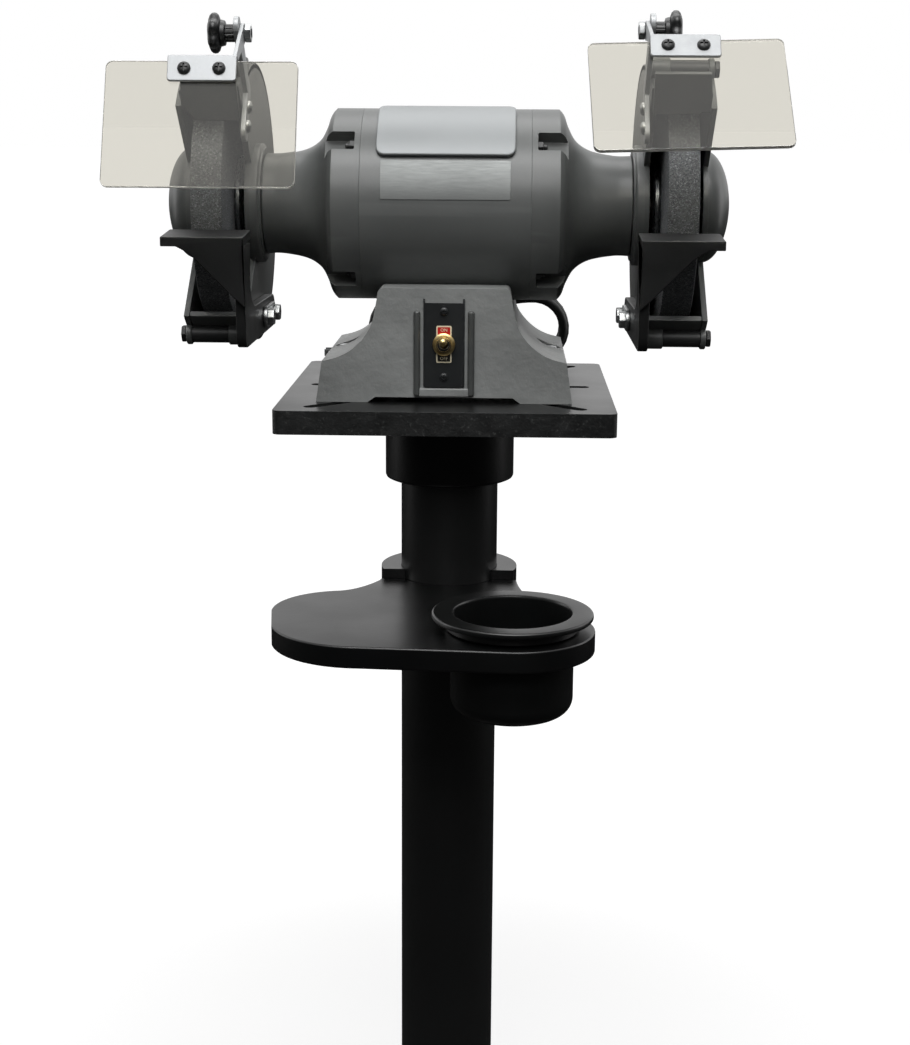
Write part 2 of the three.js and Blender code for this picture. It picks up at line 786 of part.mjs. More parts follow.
// Guards: points on a wheel side are given by a radius and an angle up from the front
function polar(radius, degrees) {
  return [axisY - radius * Math.cos(radians(degrees)), axisZ + radius * Math.sin(radians(degrees))];
}

// A sector open to the front, with a whole hub disc
function guardSector(outer, hub) {
  const shape = new THREE.Shape();
  const turn = (degrees) => Math.PI - radians(degrees);
  shape.moveTo(...polar(outer, openUp));
  shape.absarc(axisY, axisZ, outer, turn(openUp), turn(openDown + 360), true);
  shape.lineTo(...polar(hub, openDownHub + 360));
  shape.absarc(axisY, axisZ, hub, turn(openDownHub), turn(openUp), true);
  shape.closePath();
  return shape;
}

const lugCentre = polar(lugReach, lugAngle);
const topLugCentre = polar(lugReach, topLugAngle);
const coverIn = guardOut - coverPlate;

function innerGuard() {
  const plate = prism('x', guardSector(guardRadius, hubRadius), guardIn, guardIn + guardPlate, arcLarge);
  const hub = rod('x', hubRadius, neckEnd + gap, guardIn + 1, [axisY, axisZ], roundMedium);
  const drum = prism('x', guardSector(guardRadius, hubRadius), guardIn, coverIn - gap, arcLarge);
  const inner = guardRadius - guardWall;
  const wall = cut(drum, rod('x', inner, guardIn + guardPlate, guardOut, [axisY, axisZ], roundLarge));
  const flange = slab(inner, sparkFlangeTop, 0, sparkFlangeThick, guardIn, coverIn - gap);
  const lugs = [lugCentre, topLugCentre].map((centre) => (
    rod('x', lugRadius, guardIn, guardIn + lugLength, centre, roundSmall)
  ));
  const bore = rod('x', hubBore, neckEnd - 1, guardIn + guardPlate + 1, [axisY, axisZ], roundMedium);
  const boltHole = rod('x', coverBoltRadius + gap, guardIn + 3, guardOut, lugCentre, roundSmall);
  const plateEnd = guardIn + guardPlate + 1;
  const restHoles = restBoltY.map((y) => (
    rod('x', restBoltRadius + gap, guardIn - 1, plateEnd, [y, restSlotZ], roundSmall)
  ));
  return cut(join(plate, hub, wall, flange, ...lugs), bore, boltHole, ...restHoles);
}

// A flat plate that stands on the upper edge of the opening, behind or before that edge
function slab(fromRadius, toRadius, behind, thick, fromX, toX) {
  const along = [-Math.cos(radians(openUp)), Math.sin(radians(openUp))];
  const across = [Math.sin(radians(openUp)), Math.cos(radians(openUp))];
  const corner = (r, t) => [axisY + r * along[0] + t * across[0], axisZ + r * along[1] + t * across[1]];
  const far = behind + thick;
  const near = [corner(fromRadius, behind), corner(toRadius, behind)];
  return prism('x', [...near, corner(toRadius, far), corner(fromRadius, far)], fromX, toX);
}

function outerCover() {
  const plate = prism('x', guardSector(guardRadius, hubRadius), coverIn, guardOut, arcLarge);
  const profile = [[coverIn, 0], [coverIn, domeRadius]];
  const cavity = [[coverIn - 1, 0], [coverIn - 1, domeRadius - domeWall]];
  for (let i = 0; i <= 5; i += 1) {
    const angle = (i / 5) * Math.PI / 2;
    const lift = Math.sin(angle);
    const spread = Math.cos(angle);
    profile.push([guardOut + (domeTip - guardOut) * lift, domeRadius * spread]);
    cavity.push([guardOut + (domeTip - domeWall - guardOut) * lift, (domeRadius - domeWall) * spread]);
  }
  const dome = at(turned('x', profile, roundMedium), 0, axisY, axisZ);
  const hollow = at(turned('x', cavity, roundMedium), 0, axisY, axisZ);
  const lugs = [lugCentre, topLugCentre].map((centre) => (
    rod('x', lugRadius, coverIn, guardOut, centre, roundSmall)
  ));
  const boltHole = rod('x', coverBoltRadius + gap, coverIn - 1, guardOut + 1, lugCentre, roundSmall);
  return cut(join(plate, dome, ...lugs), hollow, boltHole);
}

function coverBolt() {
  const shank = rod('x', coverBoltRadius, guardIn + 3 + gap, guardOut + gap + 1, lugCentre, roundSmall);
  return join(shank, hexRod('x', hexShare * coverBoltRadius, guardOut + gap, guardOut + gap + 4, lugCentre));
}

function wheel() {
  const half = wheelWidth / 2;
  const [from, to] = [wheelX - half, wheelX + half];
  const bore = arborRadius + gap;
  const profile = [[from, bore], [from, wheelRadius - 1], [from + 1, wheelRadius]];
  profile.push([to - 1, wheelRadius], [to, wheelRadius - 1], [to, bore], [from, bore]);
  return at(turned('x', profile, roundLarge), 0, axisY, axisZ);
}

function wheelFlange(from) {
  const to = from + flangeThick;
  const bore = arborRadius + gap;
  const disc = [[from, bore], [from, flangeRadius - 1.5], [from + 1.5, flangeRadius]];
  disc.push([to - 1.5, flangeRadius], [to, flangeRadius - 1.5], [to, bore], [from, bore]);
  return at(turned('x', disc, roundMedium), 0, axisY, axisZ);
}

function arborNut() {
  const nutOuter = nutInner + arborNutThick;
  const nut = hexRod('x', arborNutFlats, nutInner, nutOuter, [axisY, axisZ]);
  return cut(nut, rod('x', arborRadius + gap, nutInner - 1, nutOuter + 1, [axisY, axisZ], roundMedium));
}

function sparkArrester(hand) {
  const outX = coverIn - gap - 1;
  const [near, far] = [sparkInner, sparkOuter].map((radius) => radius + sparkOut[hand]);
  return slab(near, far, -gap - sparkThick, sparkThick, guardIn + sparkMargin, outX);
}

// Tool rest: platform, web below it and an arm that runs back along the guard to a slotted foot
function toolRest() {
  const platform = prism('x', [
    [restBackY, restTopBack], [restFrontY, restTopFront],
    [restFrontY, restTopFront - restThick], [restBackY, restTopBack - restThick],
  ], restIn, restOut);
  const under = restTopFront - restThick + 1;
  const webY = restFrontY + webFrontIn;
  const web = prism('y', [
    [restIn, under], [webOut, under], [webOut - 8.5, under - 4.3], [webOut - 15, under - 9.2],
    [restIn + 9, webBottom], [restIn, webBottom - 8],
  ], webY, webY + webThick);
  const arm = new THREE.Shape();
  arm.moveTo(restFrontY + 3, under);
  arm.lineTo(restFrontY + 7, restArmBottom + 12);
  arm.quadraticCurveTo(restFrontY + 8, restArmBottom, restFrontY + 20, restArmBottom);
  arm.lineTo(restFootBackY - 14, restArmBottom);
  arm.absarc(restFootBackY - 14, restArmBottom + 14, 14, -Math.PI / 2, Math.PI / 2);
  arm.lineTo(restArmBackY + 30, restFootTop);
  arm.quadraticCurveTo(restArmBackY + 2, restFootTop + 2, restArmBackY, restFootTop + 24);
  arm.lineTo(restArmBackY + 3, under);
  arm.closePath();
  const plate = prism('x', arm, restIn, restIn + restArmThick, arcSmall);
  const slot = slotShape([restSlotFromY, restSlotZ], [restSlotToY, restSlotZ], restSlotWidth);
  const hole = prism('x', slot, restIn - 1, restIn + restArmThick + 1, arcSmall);
  return cut(join(platform, web, plate), hole);
}

// Rest clamp: two bolts on one bar washer, through the slot of the rest into the guard
function restClamp() {
  const out = restIn - gap;
  const [front, back] = restBoltY.map((y) => [y, restSlotZ]);
  const outline = slotShape(front, back, barShare * restBoltRadius);
  const bar = prism('x', outline, out - restBarThick, out, arcSmall);
  const bolts = restBoltY.flatMap((y) => [
    rod('x', restBoltRadius, out - 1, guardIn + guardPlate, [y, restSlotZ], roundSmall),
    hexRod('x', hexShare * restBoltRadius, out - restBarThick - 5.5, out - restBarThick + 1, [y, restSlotZ]),
  ]);
  return join(bar, ...bolts);
}

// Shield arm: a bent strip on the guard that rises to the pivot of the eye shield
function shieldArm(hand) {
  const pivot = [pivotY, pivotZ[hand]];
  const strip = (from, to) => prism('x', slotShape(from, to, armWidth), armOut - armThick, armOut, arcSmall);
  const armIn = armOut - armThick;
  const hole = rod('x', knobBoltRadius + gap, armIn - 1, armOut + 1, pivot, roundMedium);
  const run = [pivot[0] - armBend[0], pivot[1] - armBend[1]];
  const share = armOver / Math.hypot(...run);
  const end = [pivot[0] + share * run[0], pivot[1] + share * run[1]];
  return cut(join(strip(armTip, armBend), strip(armBend, end)), hole);
}

// The shield pieces are made about the pivot and hang straight down before they are tilted.
function shieldBracket() {
  const flangeBack = flangeFront + earThick;
  const shelfBack = flangeBack + shieldThick + 3 * gap;
  const shelfUnder = flangeTop - shelfThick;
  const lean = Math.atan2(flangeTop, (flangeFront + shelfBack) / 2);
  const ear = new THREE.Shape();
  ear.absarc(0, 0, armWidth / 2, lean + Math.PI / 2, lean + 1.5 * Math.PI);
  ear.lineTo(flangeFront, flangeTop);
  ear.lineTo(flangeFront, shelfUnder);
  ear.lineTo(shelfBack, shelfUnder);
  ear.closePath();
  const side = prism('x', ear, earIn, earIn + earThick, arcSmall);
  const front = box([earIn, bracketOut], [flangeFront, flangeBack], [flangeBottom, flangeTop]);
  const shelf = box([earIn, bracketOut], [flangeFront, shelfBack], [shelfUnder, flangeTop]);
  const hole = rod('x', knobBoltRadius + gap, earIn - 1, earIn + earThick + 1, [0, 0], roundMedium);
  return cut(join(side, front, shelf), hole);
}

function eyeShield(hand) {
  const back = flangeFront + earThick + gap;
  const middle = [shieldIn + shieldWidth / 2, shieldTop - shieldHeight / 2];
  const outline = roundedRect(shieldWidth / 2, shieldHeight / 2, shieldCorner, ...middle);
  const sheet = prism('y', outline, back, back + shieldThick, arcSmall);
  const centre = [(earIn + bracketOut) / 2, 0, (flangeTop + flangeBottom) / 2];
  return turnedAbout(sheet, centre, sheetTurn[hand]);
}

function shieldKnob() {
  const lobes = new THREE.Shape();
  const steps = 4 * knobLobes;
  for (let i = 0; i < steps; i += 1) {
    const angle = (i / steps) * 2 * Math.PI;
    const radius = knobRadius - 1.2 + 1.2 * Math.cos(knobLobes * angle);
    const point = [radius * Math.cos(angle), radius * Math.sin(angle)];
    if (i === 0) lobes.moveTo(...point);
    else lobes.lineTo(...point);
  }
  lobes.closePath();
  const stemFrom = armOut + gap;
  const grip = prism('x', lobes, stemFrom + knobStem, stemFrom + knobStem + knobThick);
  const stem = rod('x', stemShare * knobBoltRadius, stemFrom, stemFrom + knobStem + 1, [0, 0], roundSmall);
  const nutFrom = earIn - gap;
  const bolt = rod('x', knobBoltRadius, nutFrom - 5, stemFrom + 1, [0, 0], roundMedium);
  const nut = hexRod('x', hexShare * knobBoltRadius, nutFrom - 5, nutFrom, [0, 0]);
  return join(grip, stem, bolt, nut);
}

for (const [hand, side] of [['left', -1], ['right', 1]]) {
  piece(grinder, `${hand}_end_bell`, endBell(), greyPaint, side);
  piece(grinder, `${hand}_bearing`, bearing(), steel, side);
  piece(grinder, `${hand}_inner_guard`, innerGuard(), greyPaint, side);
  piece(grinder, `${hand}_outer_cover`, outerCover(), greyPaint, side);
  piece(grinder, `${hand}_cover_bolt`, coverBolt(), steel, side);
  piece(grinder, `${hand}_wheel`, wheel(), abrasive, side);
  piece(grinder, `${hand}_inner_flange`, wheelFlange(flangeInner), steel, side);
  piece(grinder, `${hand}_outer_flange`, wheelFlange(nutInner - gap - flangeThick), steel, side);
  piece(grinder, `${hand}_arbor_nut`, arborNut(), steel, side);
  piece(grinder, `${hand}_spark_arrester`, sparkArrester(hand), greyPaint, side);
  piece(grinder, `${hand}_tool_rest`, toolRest(), darkPaint, side);
  piece(grinder, `${hand}_rest_clamp`, restClamp(), steel, side);
  piece(grinder, `${hand}_shield_arm`, shieldArm(hand), zinc, side);
  const pivot = new THREE.Group();
  pivot.position.set(0, pivotY, pivotZ[hand]);
  pivot.rotation.x = -radians(shieldTilt[hand]);
  grinder.add(pivot);
  piece(pivot, `${hand}_shield_bracket`, shieldBracket(), zinc, side);
  piece(pivot, `${hand}_eye_shield`, eyeShield(hand), clearPlate, side);
  piece(pivot, `${hand}_shield_knob`, shieldKnob(), blackPlastic, side);
}

// Power cord: a lead out of the base, a hank that stands behind it, and a tail to the plug
const smooth = (t) => t * t * (3 - 2 * t);
const climbShare = 0.22;
const reliefEnd = baseBackY + reliefLength;
const hankBackY = reliefEnd + gap + leadStraight + leadBend;

// A closed tube of rings that keep upright along the path
function sweep(points, sides) {
  const position = [];
  const index = [];
  const up = new THREE.Vector3(0, 1, 0);
  let normal = null;
  points.forEach((point, i) => {
    const before = points[Math.max(0, i - 1)];
    const after = points[Math.min(points.length - 1, i + 1)];
    const tangent = after.clone().sub(before).normalize();
    if (!normal) normal = Math.abs(tangent.dot(up)) > 0.9 ? new THREE.Vector3(0, 0, 1) : up.clone();
    normal = normal.clone().addScaledVector(tangent, -normal.dot(tangent)).normalize();
    const binormal = tangent.clone().cross(normal);
    for (let k = 0; k < sides; k += 1) {
      const angle = (k / sides) * 2 * Math.PI;
      const ring = point.clone();
      ring.addScaledVector(normal, cordRadius * Math.cos(angle));
      ring.addScaledVector(binormal, cordRadius * Math.sin(angle));
      position.push(ring.x, ring.y, ring.z);
    }
  });
  const rings = points.length;
  for (let i = 0; i + 1 < rings; i += 1) {
    for (let k = 0; k < sides; k += 1) {
      const [a, b] = [i * sides + k, i * sides + (k + 1) % sides];
      index.push(a, b, a + sides, b, b + sides, a + sides);
    }
  }
  for (let k = 1; k + 1 < sides; k += 1) {
    const last = (rings - 1) * sides;
    index.push(0, k + 1, k, last, last + k, last + k + 1);
  }
  const geometry = new THREE.BufferGeometry();
  geometry.setAttribute('position', new THREE.BufferAttribute(new Float32Array(position), 3));
  geometry.setIndex(index);
  return solidOf(geometry);
}

// One point of a loop: two runs joined by half circles, drawn in at the waist.
// Turn 0 is the left end of the lower run, on the way round the left fold.
function loopPoint(turn, radius, y) {
  const fold = Math.PI * radius;
  const lap = 2 * hankRun + 2 * fold;
  const along = (turn - Math.floor(turn)) * lap;
  const half = hankRun / 2;
  const waist = (x) => hankWaist * (1 - (x / half) ** 2) ** 2;
  let x = 0;
  let z = 0;
  if (along < fold) {
    const angle = along / radius;
    [x, z] = [-half - radius * Math.sin(angle), -radius * Math.cos(angle)];
  } else if (along < fold + hankRun) {
    x = -half + along - fold;
    z = radius - waist(x);
  } else if (along < 2 * fold + hankRun) {
    const angle = (along - fold - hankRun) / radius;
    [x, z] = [half + radius * Math.sin(angle), radius * Math.cos(angle)];
  } else {
    x = half - (along - 2 * fold - hankRun);
    z = -radius + waist(x);
  }
  return new THREE.Vector3(hankX + x, y, hankZ + z);
}

// The hank ends where the last lower run would begin. Both ends run straight for one diameter.
function hankPoints() {
  const points = [];
  const lastLap = 2 * hankRun + 2.2 * Math.PI * hankInner;
  const turns = hankLayers - hankRun / lastLap;
  const steps = Math.round(turns * stepsPerLoop);
  for (let i = 0; i <= steps; i += 1) {
    const turn = (i / steps) * turns;
    const layer = Math.min(Math.floor(turn), hankLayers - 1);
    const share = turn - layer;
    const grow = layer % 2 === 0 ? share : 1 - share;
    const climb = Math.max(0, (share - 1 + climbShare) / climbShare);
    const y = hankBackY - layerStep * (layer + smooth(climb));
    points.push(loopPoint(turn, hankInner + (hankOuter - hankInner) * grow, y));
  }
  const [first, last] = [points[0], points[points.length - 1]];
  points.unshift(first.clone().setX(first.x + 2 * cordRadius));
  points.push(last.clone().setX(last.x - 2 * cordRadius));
  return points;
}

// The least gap of the cord to itself, between points that are not neighbours along it
function leastGap(points) {
  const curve = new THREE.CatmullRomCurve3(points, false, 'centripetal');
  const fine = curve.getSpacedPoints(12 * points.length);
  const step = curve.getLength() / (12 * points.length);
  const skip = Math.ceil((6 * cordRadius) / step);
  let least = Infinity;
  for (let i = 0; i < fine.length; i += 1) {
    for (let k = i + skip; k < fine.length; k += 1) least = Math.min(least, fine[i].distanceTo(fine[k]));
  }
  return least - 2 * cordRadius;
}

const hank = hankPoints();
console.log('least gap of the hank to itself', leastGap(hank).toFixed(2), 'mm');

function strainRelief() {
  const neck = reliefRadius - 2;
  const profile = [[baseBackY - baseWall, 0], [baseBackY - baseWall, neck], [baseBackY + gap, neck]];
  profile.push([baseBackY + gap, reliefRadius], [baseBackY + 5, reliefRadius]);
  profile.push([reliefEnd, cordRadius + 1.2], [reliefEnd, 0]);
  return at(turned('y', profile, roundSmall), reliefX, 0, reliefZ);
}

// A stretch that shifts sideways and in height while it runs along x, straight at both ends
function shifted(from, to, steps) {
  const straight = from.x > to.x ? -2 * cordRadius : 2 * cordRadius;
  const [a, b] = [from.clone().setX(from.x + straight), to.clone().setX(to.x - straight)];
  const points = [from];
  for (let i = 0; i <= steps; i += 1) {
    const t = i / steps;
    const point = a.clone().lerp(b, smooth(t));
    points.push(point.setX(a.x + (b.x - a.x) * t));
  }
  points.push(to);
  return points;
}

function leadPoints() {
  const start = new THREE.Vector3(reliefX, reliefEnd + gap, reliefZ);
  const turnY = start.y + leadStraight;
  const points = [start];
  for (let i = 0; i <= 5; i += 1) {
    const angle = (i / 5) * Math.PI / 2;
    const x = reliefX - leadBend * (1 - Math.cos(angle));
    points.push(new THREE.Vector3(x, turnY + leadBend * Math.sin(angle), reliefZ));
  }
  const to = hank[0].clone().setX(hank[0].x + gap);
  return [...points, ...shifted(points[points.length - 1], to, 5).slice(1)];
}

function tailPoints() {
  const from = hank[hank.length - 1];
  const to = new THREE.Vector3(plugEntryX + gap, plugY, plugRadius + gap);
  return shifted(from.clone().setX(from.x - gap), to, 7);
}

function plug() {
  const z = plugRadius + gap;
  const back = plugEntryX - plugSleeve;
  const front = back - plugBody;
  const profile = [[front, 0], [front, plugRadius - 2], [front + 2, plugRadius], [back - 12, plugRadius]];
  profile.push([back, cordRadius + 3], [plugEntryX, cordRadius + 1.2], [plugEntryX, 0]);
  const body = at(turned('x', profile, roundSmall), 0, plugY, z);
  const blades = [-1, 1].map((s) => box(
    [front - bladeLength, front + 4],
    [plugY + s * bladeGap / 2 - 0.8, plugY + s * bladeGap / 2 + 0.8],
    [z - 0.5, z + 5.8],
  ));
  const earth = rod('x', 2.4, front - bladeLength - 3, front + 4, [plugY, z - 6.5], roundSmall);
  return join(body, ...blades, earth);
}

piece(grinder, 'cord_strain_relief', strainRelief(), rubberBlack);
piece(grinder, 'cord_lead', sweep(leadPoints(), 8), rubberBlack);
piece(grinder, 'cord_hank', sweep(hank, cordSides), rubberBlack);
piece(grinder, 'cord_tail', sweep(tailPoints(), 8), rubberBlack);
piece(grinder, 'cord_plug', plug(), rubberBlack);

export default assembly;
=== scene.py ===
# Bench grinder on its pedestal stand: finishes, rounded castings, fasteners, switch and mains lead.
import json
import math

import bmesh
import bpy
from mathutils import Matrix, Vector


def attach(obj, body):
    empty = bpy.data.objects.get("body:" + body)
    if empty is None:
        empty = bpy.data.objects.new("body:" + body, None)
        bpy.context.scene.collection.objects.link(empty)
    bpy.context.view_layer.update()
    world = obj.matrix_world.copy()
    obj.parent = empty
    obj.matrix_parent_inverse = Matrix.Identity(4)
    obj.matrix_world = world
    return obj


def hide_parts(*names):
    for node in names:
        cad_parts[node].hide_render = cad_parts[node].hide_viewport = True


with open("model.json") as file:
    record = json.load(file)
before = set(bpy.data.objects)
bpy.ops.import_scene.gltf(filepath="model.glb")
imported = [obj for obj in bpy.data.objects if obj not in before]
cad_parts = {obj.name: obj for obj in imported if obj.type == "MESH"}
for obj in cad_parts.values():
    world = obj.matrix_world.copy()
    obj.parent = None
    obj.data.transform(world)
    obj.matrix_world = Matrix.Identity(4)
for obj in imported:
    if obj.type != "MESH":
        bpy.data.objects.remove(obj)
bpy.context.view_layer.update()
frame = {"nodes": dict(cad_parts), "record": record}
nodes = frame["nodes"]
mm = 0.001
gap = 0.3  # clearance between pieces that meet, in mm
tableTop = 800  # mm above the floor; grinder heights below are counted from here
arbor = (-15, tableTop + 157.5)  # y and z of the axis of the motor and wheels
sides = {"left": -1, "right": 1}
print("frame loaded:", len(nodes), "nodes")


# Colours and nodes

def linear(hexColour):
    channels = [int(hexColour[i:i + 2], 16) / 255 for i in (1, 3, 5)]
    return [c / 12.92 if c <= 0.04045 else ((c + 0.055) / 1.055) ** 2.4 for c in channels] + [1]


def addNode(tree, kind, settings=None, links=None):
    node = tree.nodes.new(kind)
    for key, value in (settings or {}).items():
        setattr(node, key, value)
    for key, value in (links or {}).items():
        if isinstance(value, bpy.types.NodeSocket):
            tree.links.new(value, node.inputs[key])
        else:
            node.inputs[key].default_value = value
    return node


def clearedTree(holder):
    holder.use_nodes = True
    holder.node_tree.nodes.clear()
    return holder.node_tree


def startMaterial(name, fixed):
    material = bpy.data.materials.new(name)
    tree = clearedTree(material)
    shader = addNode(tree, "ShaderNodeBsdfPrincipled", links=fixed)
    addNode(tree, "ShaderNodeOutputMaterial", links={"Surface": shader.outputs["BSDF"]})
    spot = addNode(tree, "ShaderNodeTexCoord").outputs["Object"]
    return material, tree, shader, spot


def perMetre(sizeMm):
    return 1 / (sizeMm * mm)


# Sets the colours along a ramp from (position, colour) pairs
def setStops(ramp, stops):
    for position, colour in stops[1:-1]:
        ramp.elements.new(position)
    for element, (position, colour) in zip(ramp.elements, stops):
        element.position = position
        element.color = linear(colour)


def wire(tree, shader, sockets):
    for key, socket in sockets.items():
        tree.links.new(socket, shader.inputs[key])


# Paint over metal: a coat that drifts between dark and light, flecks, sharp edges lightened as wear and as
# painted highlight, peel or cast skin as bump
def paint(spec):
    material, tree, shader, spot = startMaterial(spec["name"], spec.get("fixed", {"IOR": 1.5}))
    dark, light, fleck, edgeWearAndHighlightColour = spec["coats"]
    drift = addNode(tree, "ShaderNodeTexNoise", links={
        "Vector": spot, "Scale": perMetre(spec["driftMm"]), "Detail": 4}).outputs["Fac"]
    shade = addNode(tree, "ShaderNodeValToRGB", links={"Fac": drift})
    setStops(shade.color_ramp, [(0.3, dark), (0.7, light)])
    specks = addNode(tree, "ShaderNodeTexNoise", links={
        "Vector": spot, "Scale": perMetre(spec["fleckMm"]), "Detail": 2})
    flecks = addNode(tree, "ShaderNodeMapRange", links={
        "Value": specks.outputs["Fac"], "From Min": 0.6, "From Max": 0.78, "To Max": spec["fleckShare"]})
    flecked = addNode(tree, "ShaderNodeMix", {"data_type": "RGBA"}, {
        0: flecks.outputs["Result"], 6: shade.outputs["Color"], 7: linear(fleck)})
    # Sharp edges take the fourth coat: partly wear, partly a painted highlight
    edge = addNode(tree, "ShaderNodeNewGeometry").outputs["Pointiness"]
    edgeWearAndHighlight = addNode(tree, "ShaderNodeMapRange", links={
        "Value": edge, "From Min": 0.53, "From Max": 0.62, "To Max": spec["edgeShare"]})
    wornAndHighlit = addNode(tree, "ShaderNodeMix", {"data_type": "RGBA"}, {
        0: edgeWearAndHighlight.outputs["Result"], 6: flecked.outputs[2], 7: linear(edgeWearAndHighlightColour)})
    rough = addNode(tree, "ShaderNodeMapRange", links={
        "Value": drift, "From Min": 0.3, "From Max": 0.7,
        "To Min": spec["rough"][0], "To Max": spec["rough"][1]})
    normal = {}
    for sizeMm, depthMm in spec["skin"]:  # each bump rides on the one before it
        skin = addNode(tree, "ShaderNodeTexNoise", links={
            "Vector": spot, "Scale": perMetre(sizeMm), "Detail": 3, "Roughness": 0.55})
        bump = addNode(tree, "ShaderNodeBump", links={
            "Height": skin.outputs["Fac"], "Strength": 1.0, "Distance": depthMm * mm, **normal})
        normal = {"Normal": bump.outputs["Normal"]}
    wire(tree, shader, {"Base Color": wornAndHighlit.outputs[2], "Roughness": rough.outputs["Result"], **normal})
    return material


# Bare or plated metal: cloudy plating, and draw lines along one axis, coarser than real so that they show
def metal(spec):
    material, tree, shader, spot = startMaterial(spec["name"], {"Metallic": 1.0})
    stretch = addNode(tree, "ShaderNodeMapping", links={"Vector": spot, "Scale": spec["stretch"]})
    lines = addNode(tree, "ShaderNodeTexNoise", links={
        "Vector": stretch.outputs["Vector"], "Scale": perMetre(spec["lineMm"]), "Detail": 3}).outputs["Fac"]
    cloud = addNode(tree, "ShaderNodeTexNoise", links={
        "Vector": spot, "Scale": perMetre(spec["cloudMm"]), "Detail": 5})
    tone = addNode(tree, "ShaderNodeValToRGB", links={"Fac": cloud.outputs["Fac"]})
    setStops(tone.color_ramp, [(0.32, spec["dark"]), (0.68, spec["light"])])
    rough = addNode(tree, "ShaderNodeMapRange", links={
        "Value": lines, "From Min": 0.3, "From Max": 0.7,
        "To Min": spec["rough"][0], "To Max": spec["rough"][1]})
    bump = addNode(tree, "ShaderNodeBump", links={
        "Height": lines, "Strength": 1.0, "Distance": spec["lineDepthMm"] * mm})
    wire(tree, shader, {"Base Color": tone.outputs["Color"], "Roughness": rough.outputs["Result"],
                        "Normal": bump.outputs["Normal"]})
    return material


# Moulded plastic or rubber: even colour with a spark-eroded grain, coarser than a real one so that it shows
def moulded(spec):
    material, tree, shader, spot = startMaterial(spec["name"], spec.get("fixed"))
    cloud = addNode(tree, "ShaderNodeTexNoise", links={
        "Vector": spot, "Scale": perMetre(spec["cloudMm"]), "Detail": 3})
    tone = addNode(tree, "ShaderNodeValToRGB", links={"Fac": cloud.outputs["Fac"]})
    setStops(tone.color_ramp, [(0, spec["dark"]), (1, spec["light"])])
    grain = addNode(tree, "ShaderNodeTexNoise", links={
        "Vector": spot, "Scale": perMetre(spec["grainMm"]), "Detail": 2}).outputs["Fac"]
    rough = addNode(tree, "ShaderNodeMapRange", links={
        "Value": grain, "To Min": spec["rough"][0], "To Max": spec["rough"][1]})
    bump = addNode(tree, "ShaderNodeBump", links={
        "Height": grain, "Strength": 1.0, "Distance": spec["grainDepthMm"] * mm})
    wire(tree, shader, {"Base Color": tone.outputs["Color"], "Roughness": rough.outputs["Result"],
                        "Normal": bump.outputs["Normal"]})
    return material


# Vitrified grinding wheel: grey fused alumina grit in a dark bond, so specks and a gritty skin, with the
# grains drawn at about twice their real size so that they show
def grit(spec):
    material, tree, shader, spot = startMaterial(spec["name"], {"Specular IOR Level": 0.3})
    cells = addNode(tree, "ShaderNodeTexVoronoi", links={
        "Vector": spot, "Scale": perMetre(spec["grainMm"]), "Randomness": 1.0})
    pick = addNode(tree, "ShaderNodeSeparateColor", links={"Color": cells.outputs["Color"]})
    tone = addNode(tree, "ShaderNodeValToRGB", links={"Fac": pick.outputs["Red"]})
    setStops(tone.color_ramp, [
        (0, spec["bond"]), (0.45, spec["grain"]), (0.88, spec["grainLight"]), (1, spec["bright"])])
    rough = addNode(tree, "ShaderNodeMapRange", links={
        "Value": pick.outputs["Green"], "To Min": spec["rough"][0], "To Max": spec["rough"][1]})
    bump = addNode(tree, "ShaderNodeBump", {"invert": True}, {
        "Height": cells.outputs["Distance"], "Strength": 1.0, "Distance": spec["depthMm"] * mm})
    wire(tree, shader, {"Base Color": tone.outputs["Color"], "Roughness": rough.outputs["Result"],
                        "Normal": bump.outputs["Normal"]})
    return material


# Clear polycarbonate sheet with a faint smoke tint: it darkens what is behind it and is smeared a little
def clearSheet(spec):
    material, tree, shader, spot = startMaterial(spec["name"], {
        "Transmission Weight": 1.0, "IOR": 1.58, "Base Color": linear(spec["tint"])})
    haze = addNode(tree, "ShaderNodeTexNoise", links={
        "Vector": spot, "Scale": perMetre(spec["smearMm"]), "Detail": 4})
    rough = addNode(tree, "ShaderNodeMapRange", links={
        "Value": haze.outputs["Fac"], "From Min": 0.35, "From Max": 0.75,
        "To Min": spec["rough"][0], "To Max": spec["rough"][1]})
    wire(tree, shader, {"Roughness": rough.outputs["Result"]})
    return material


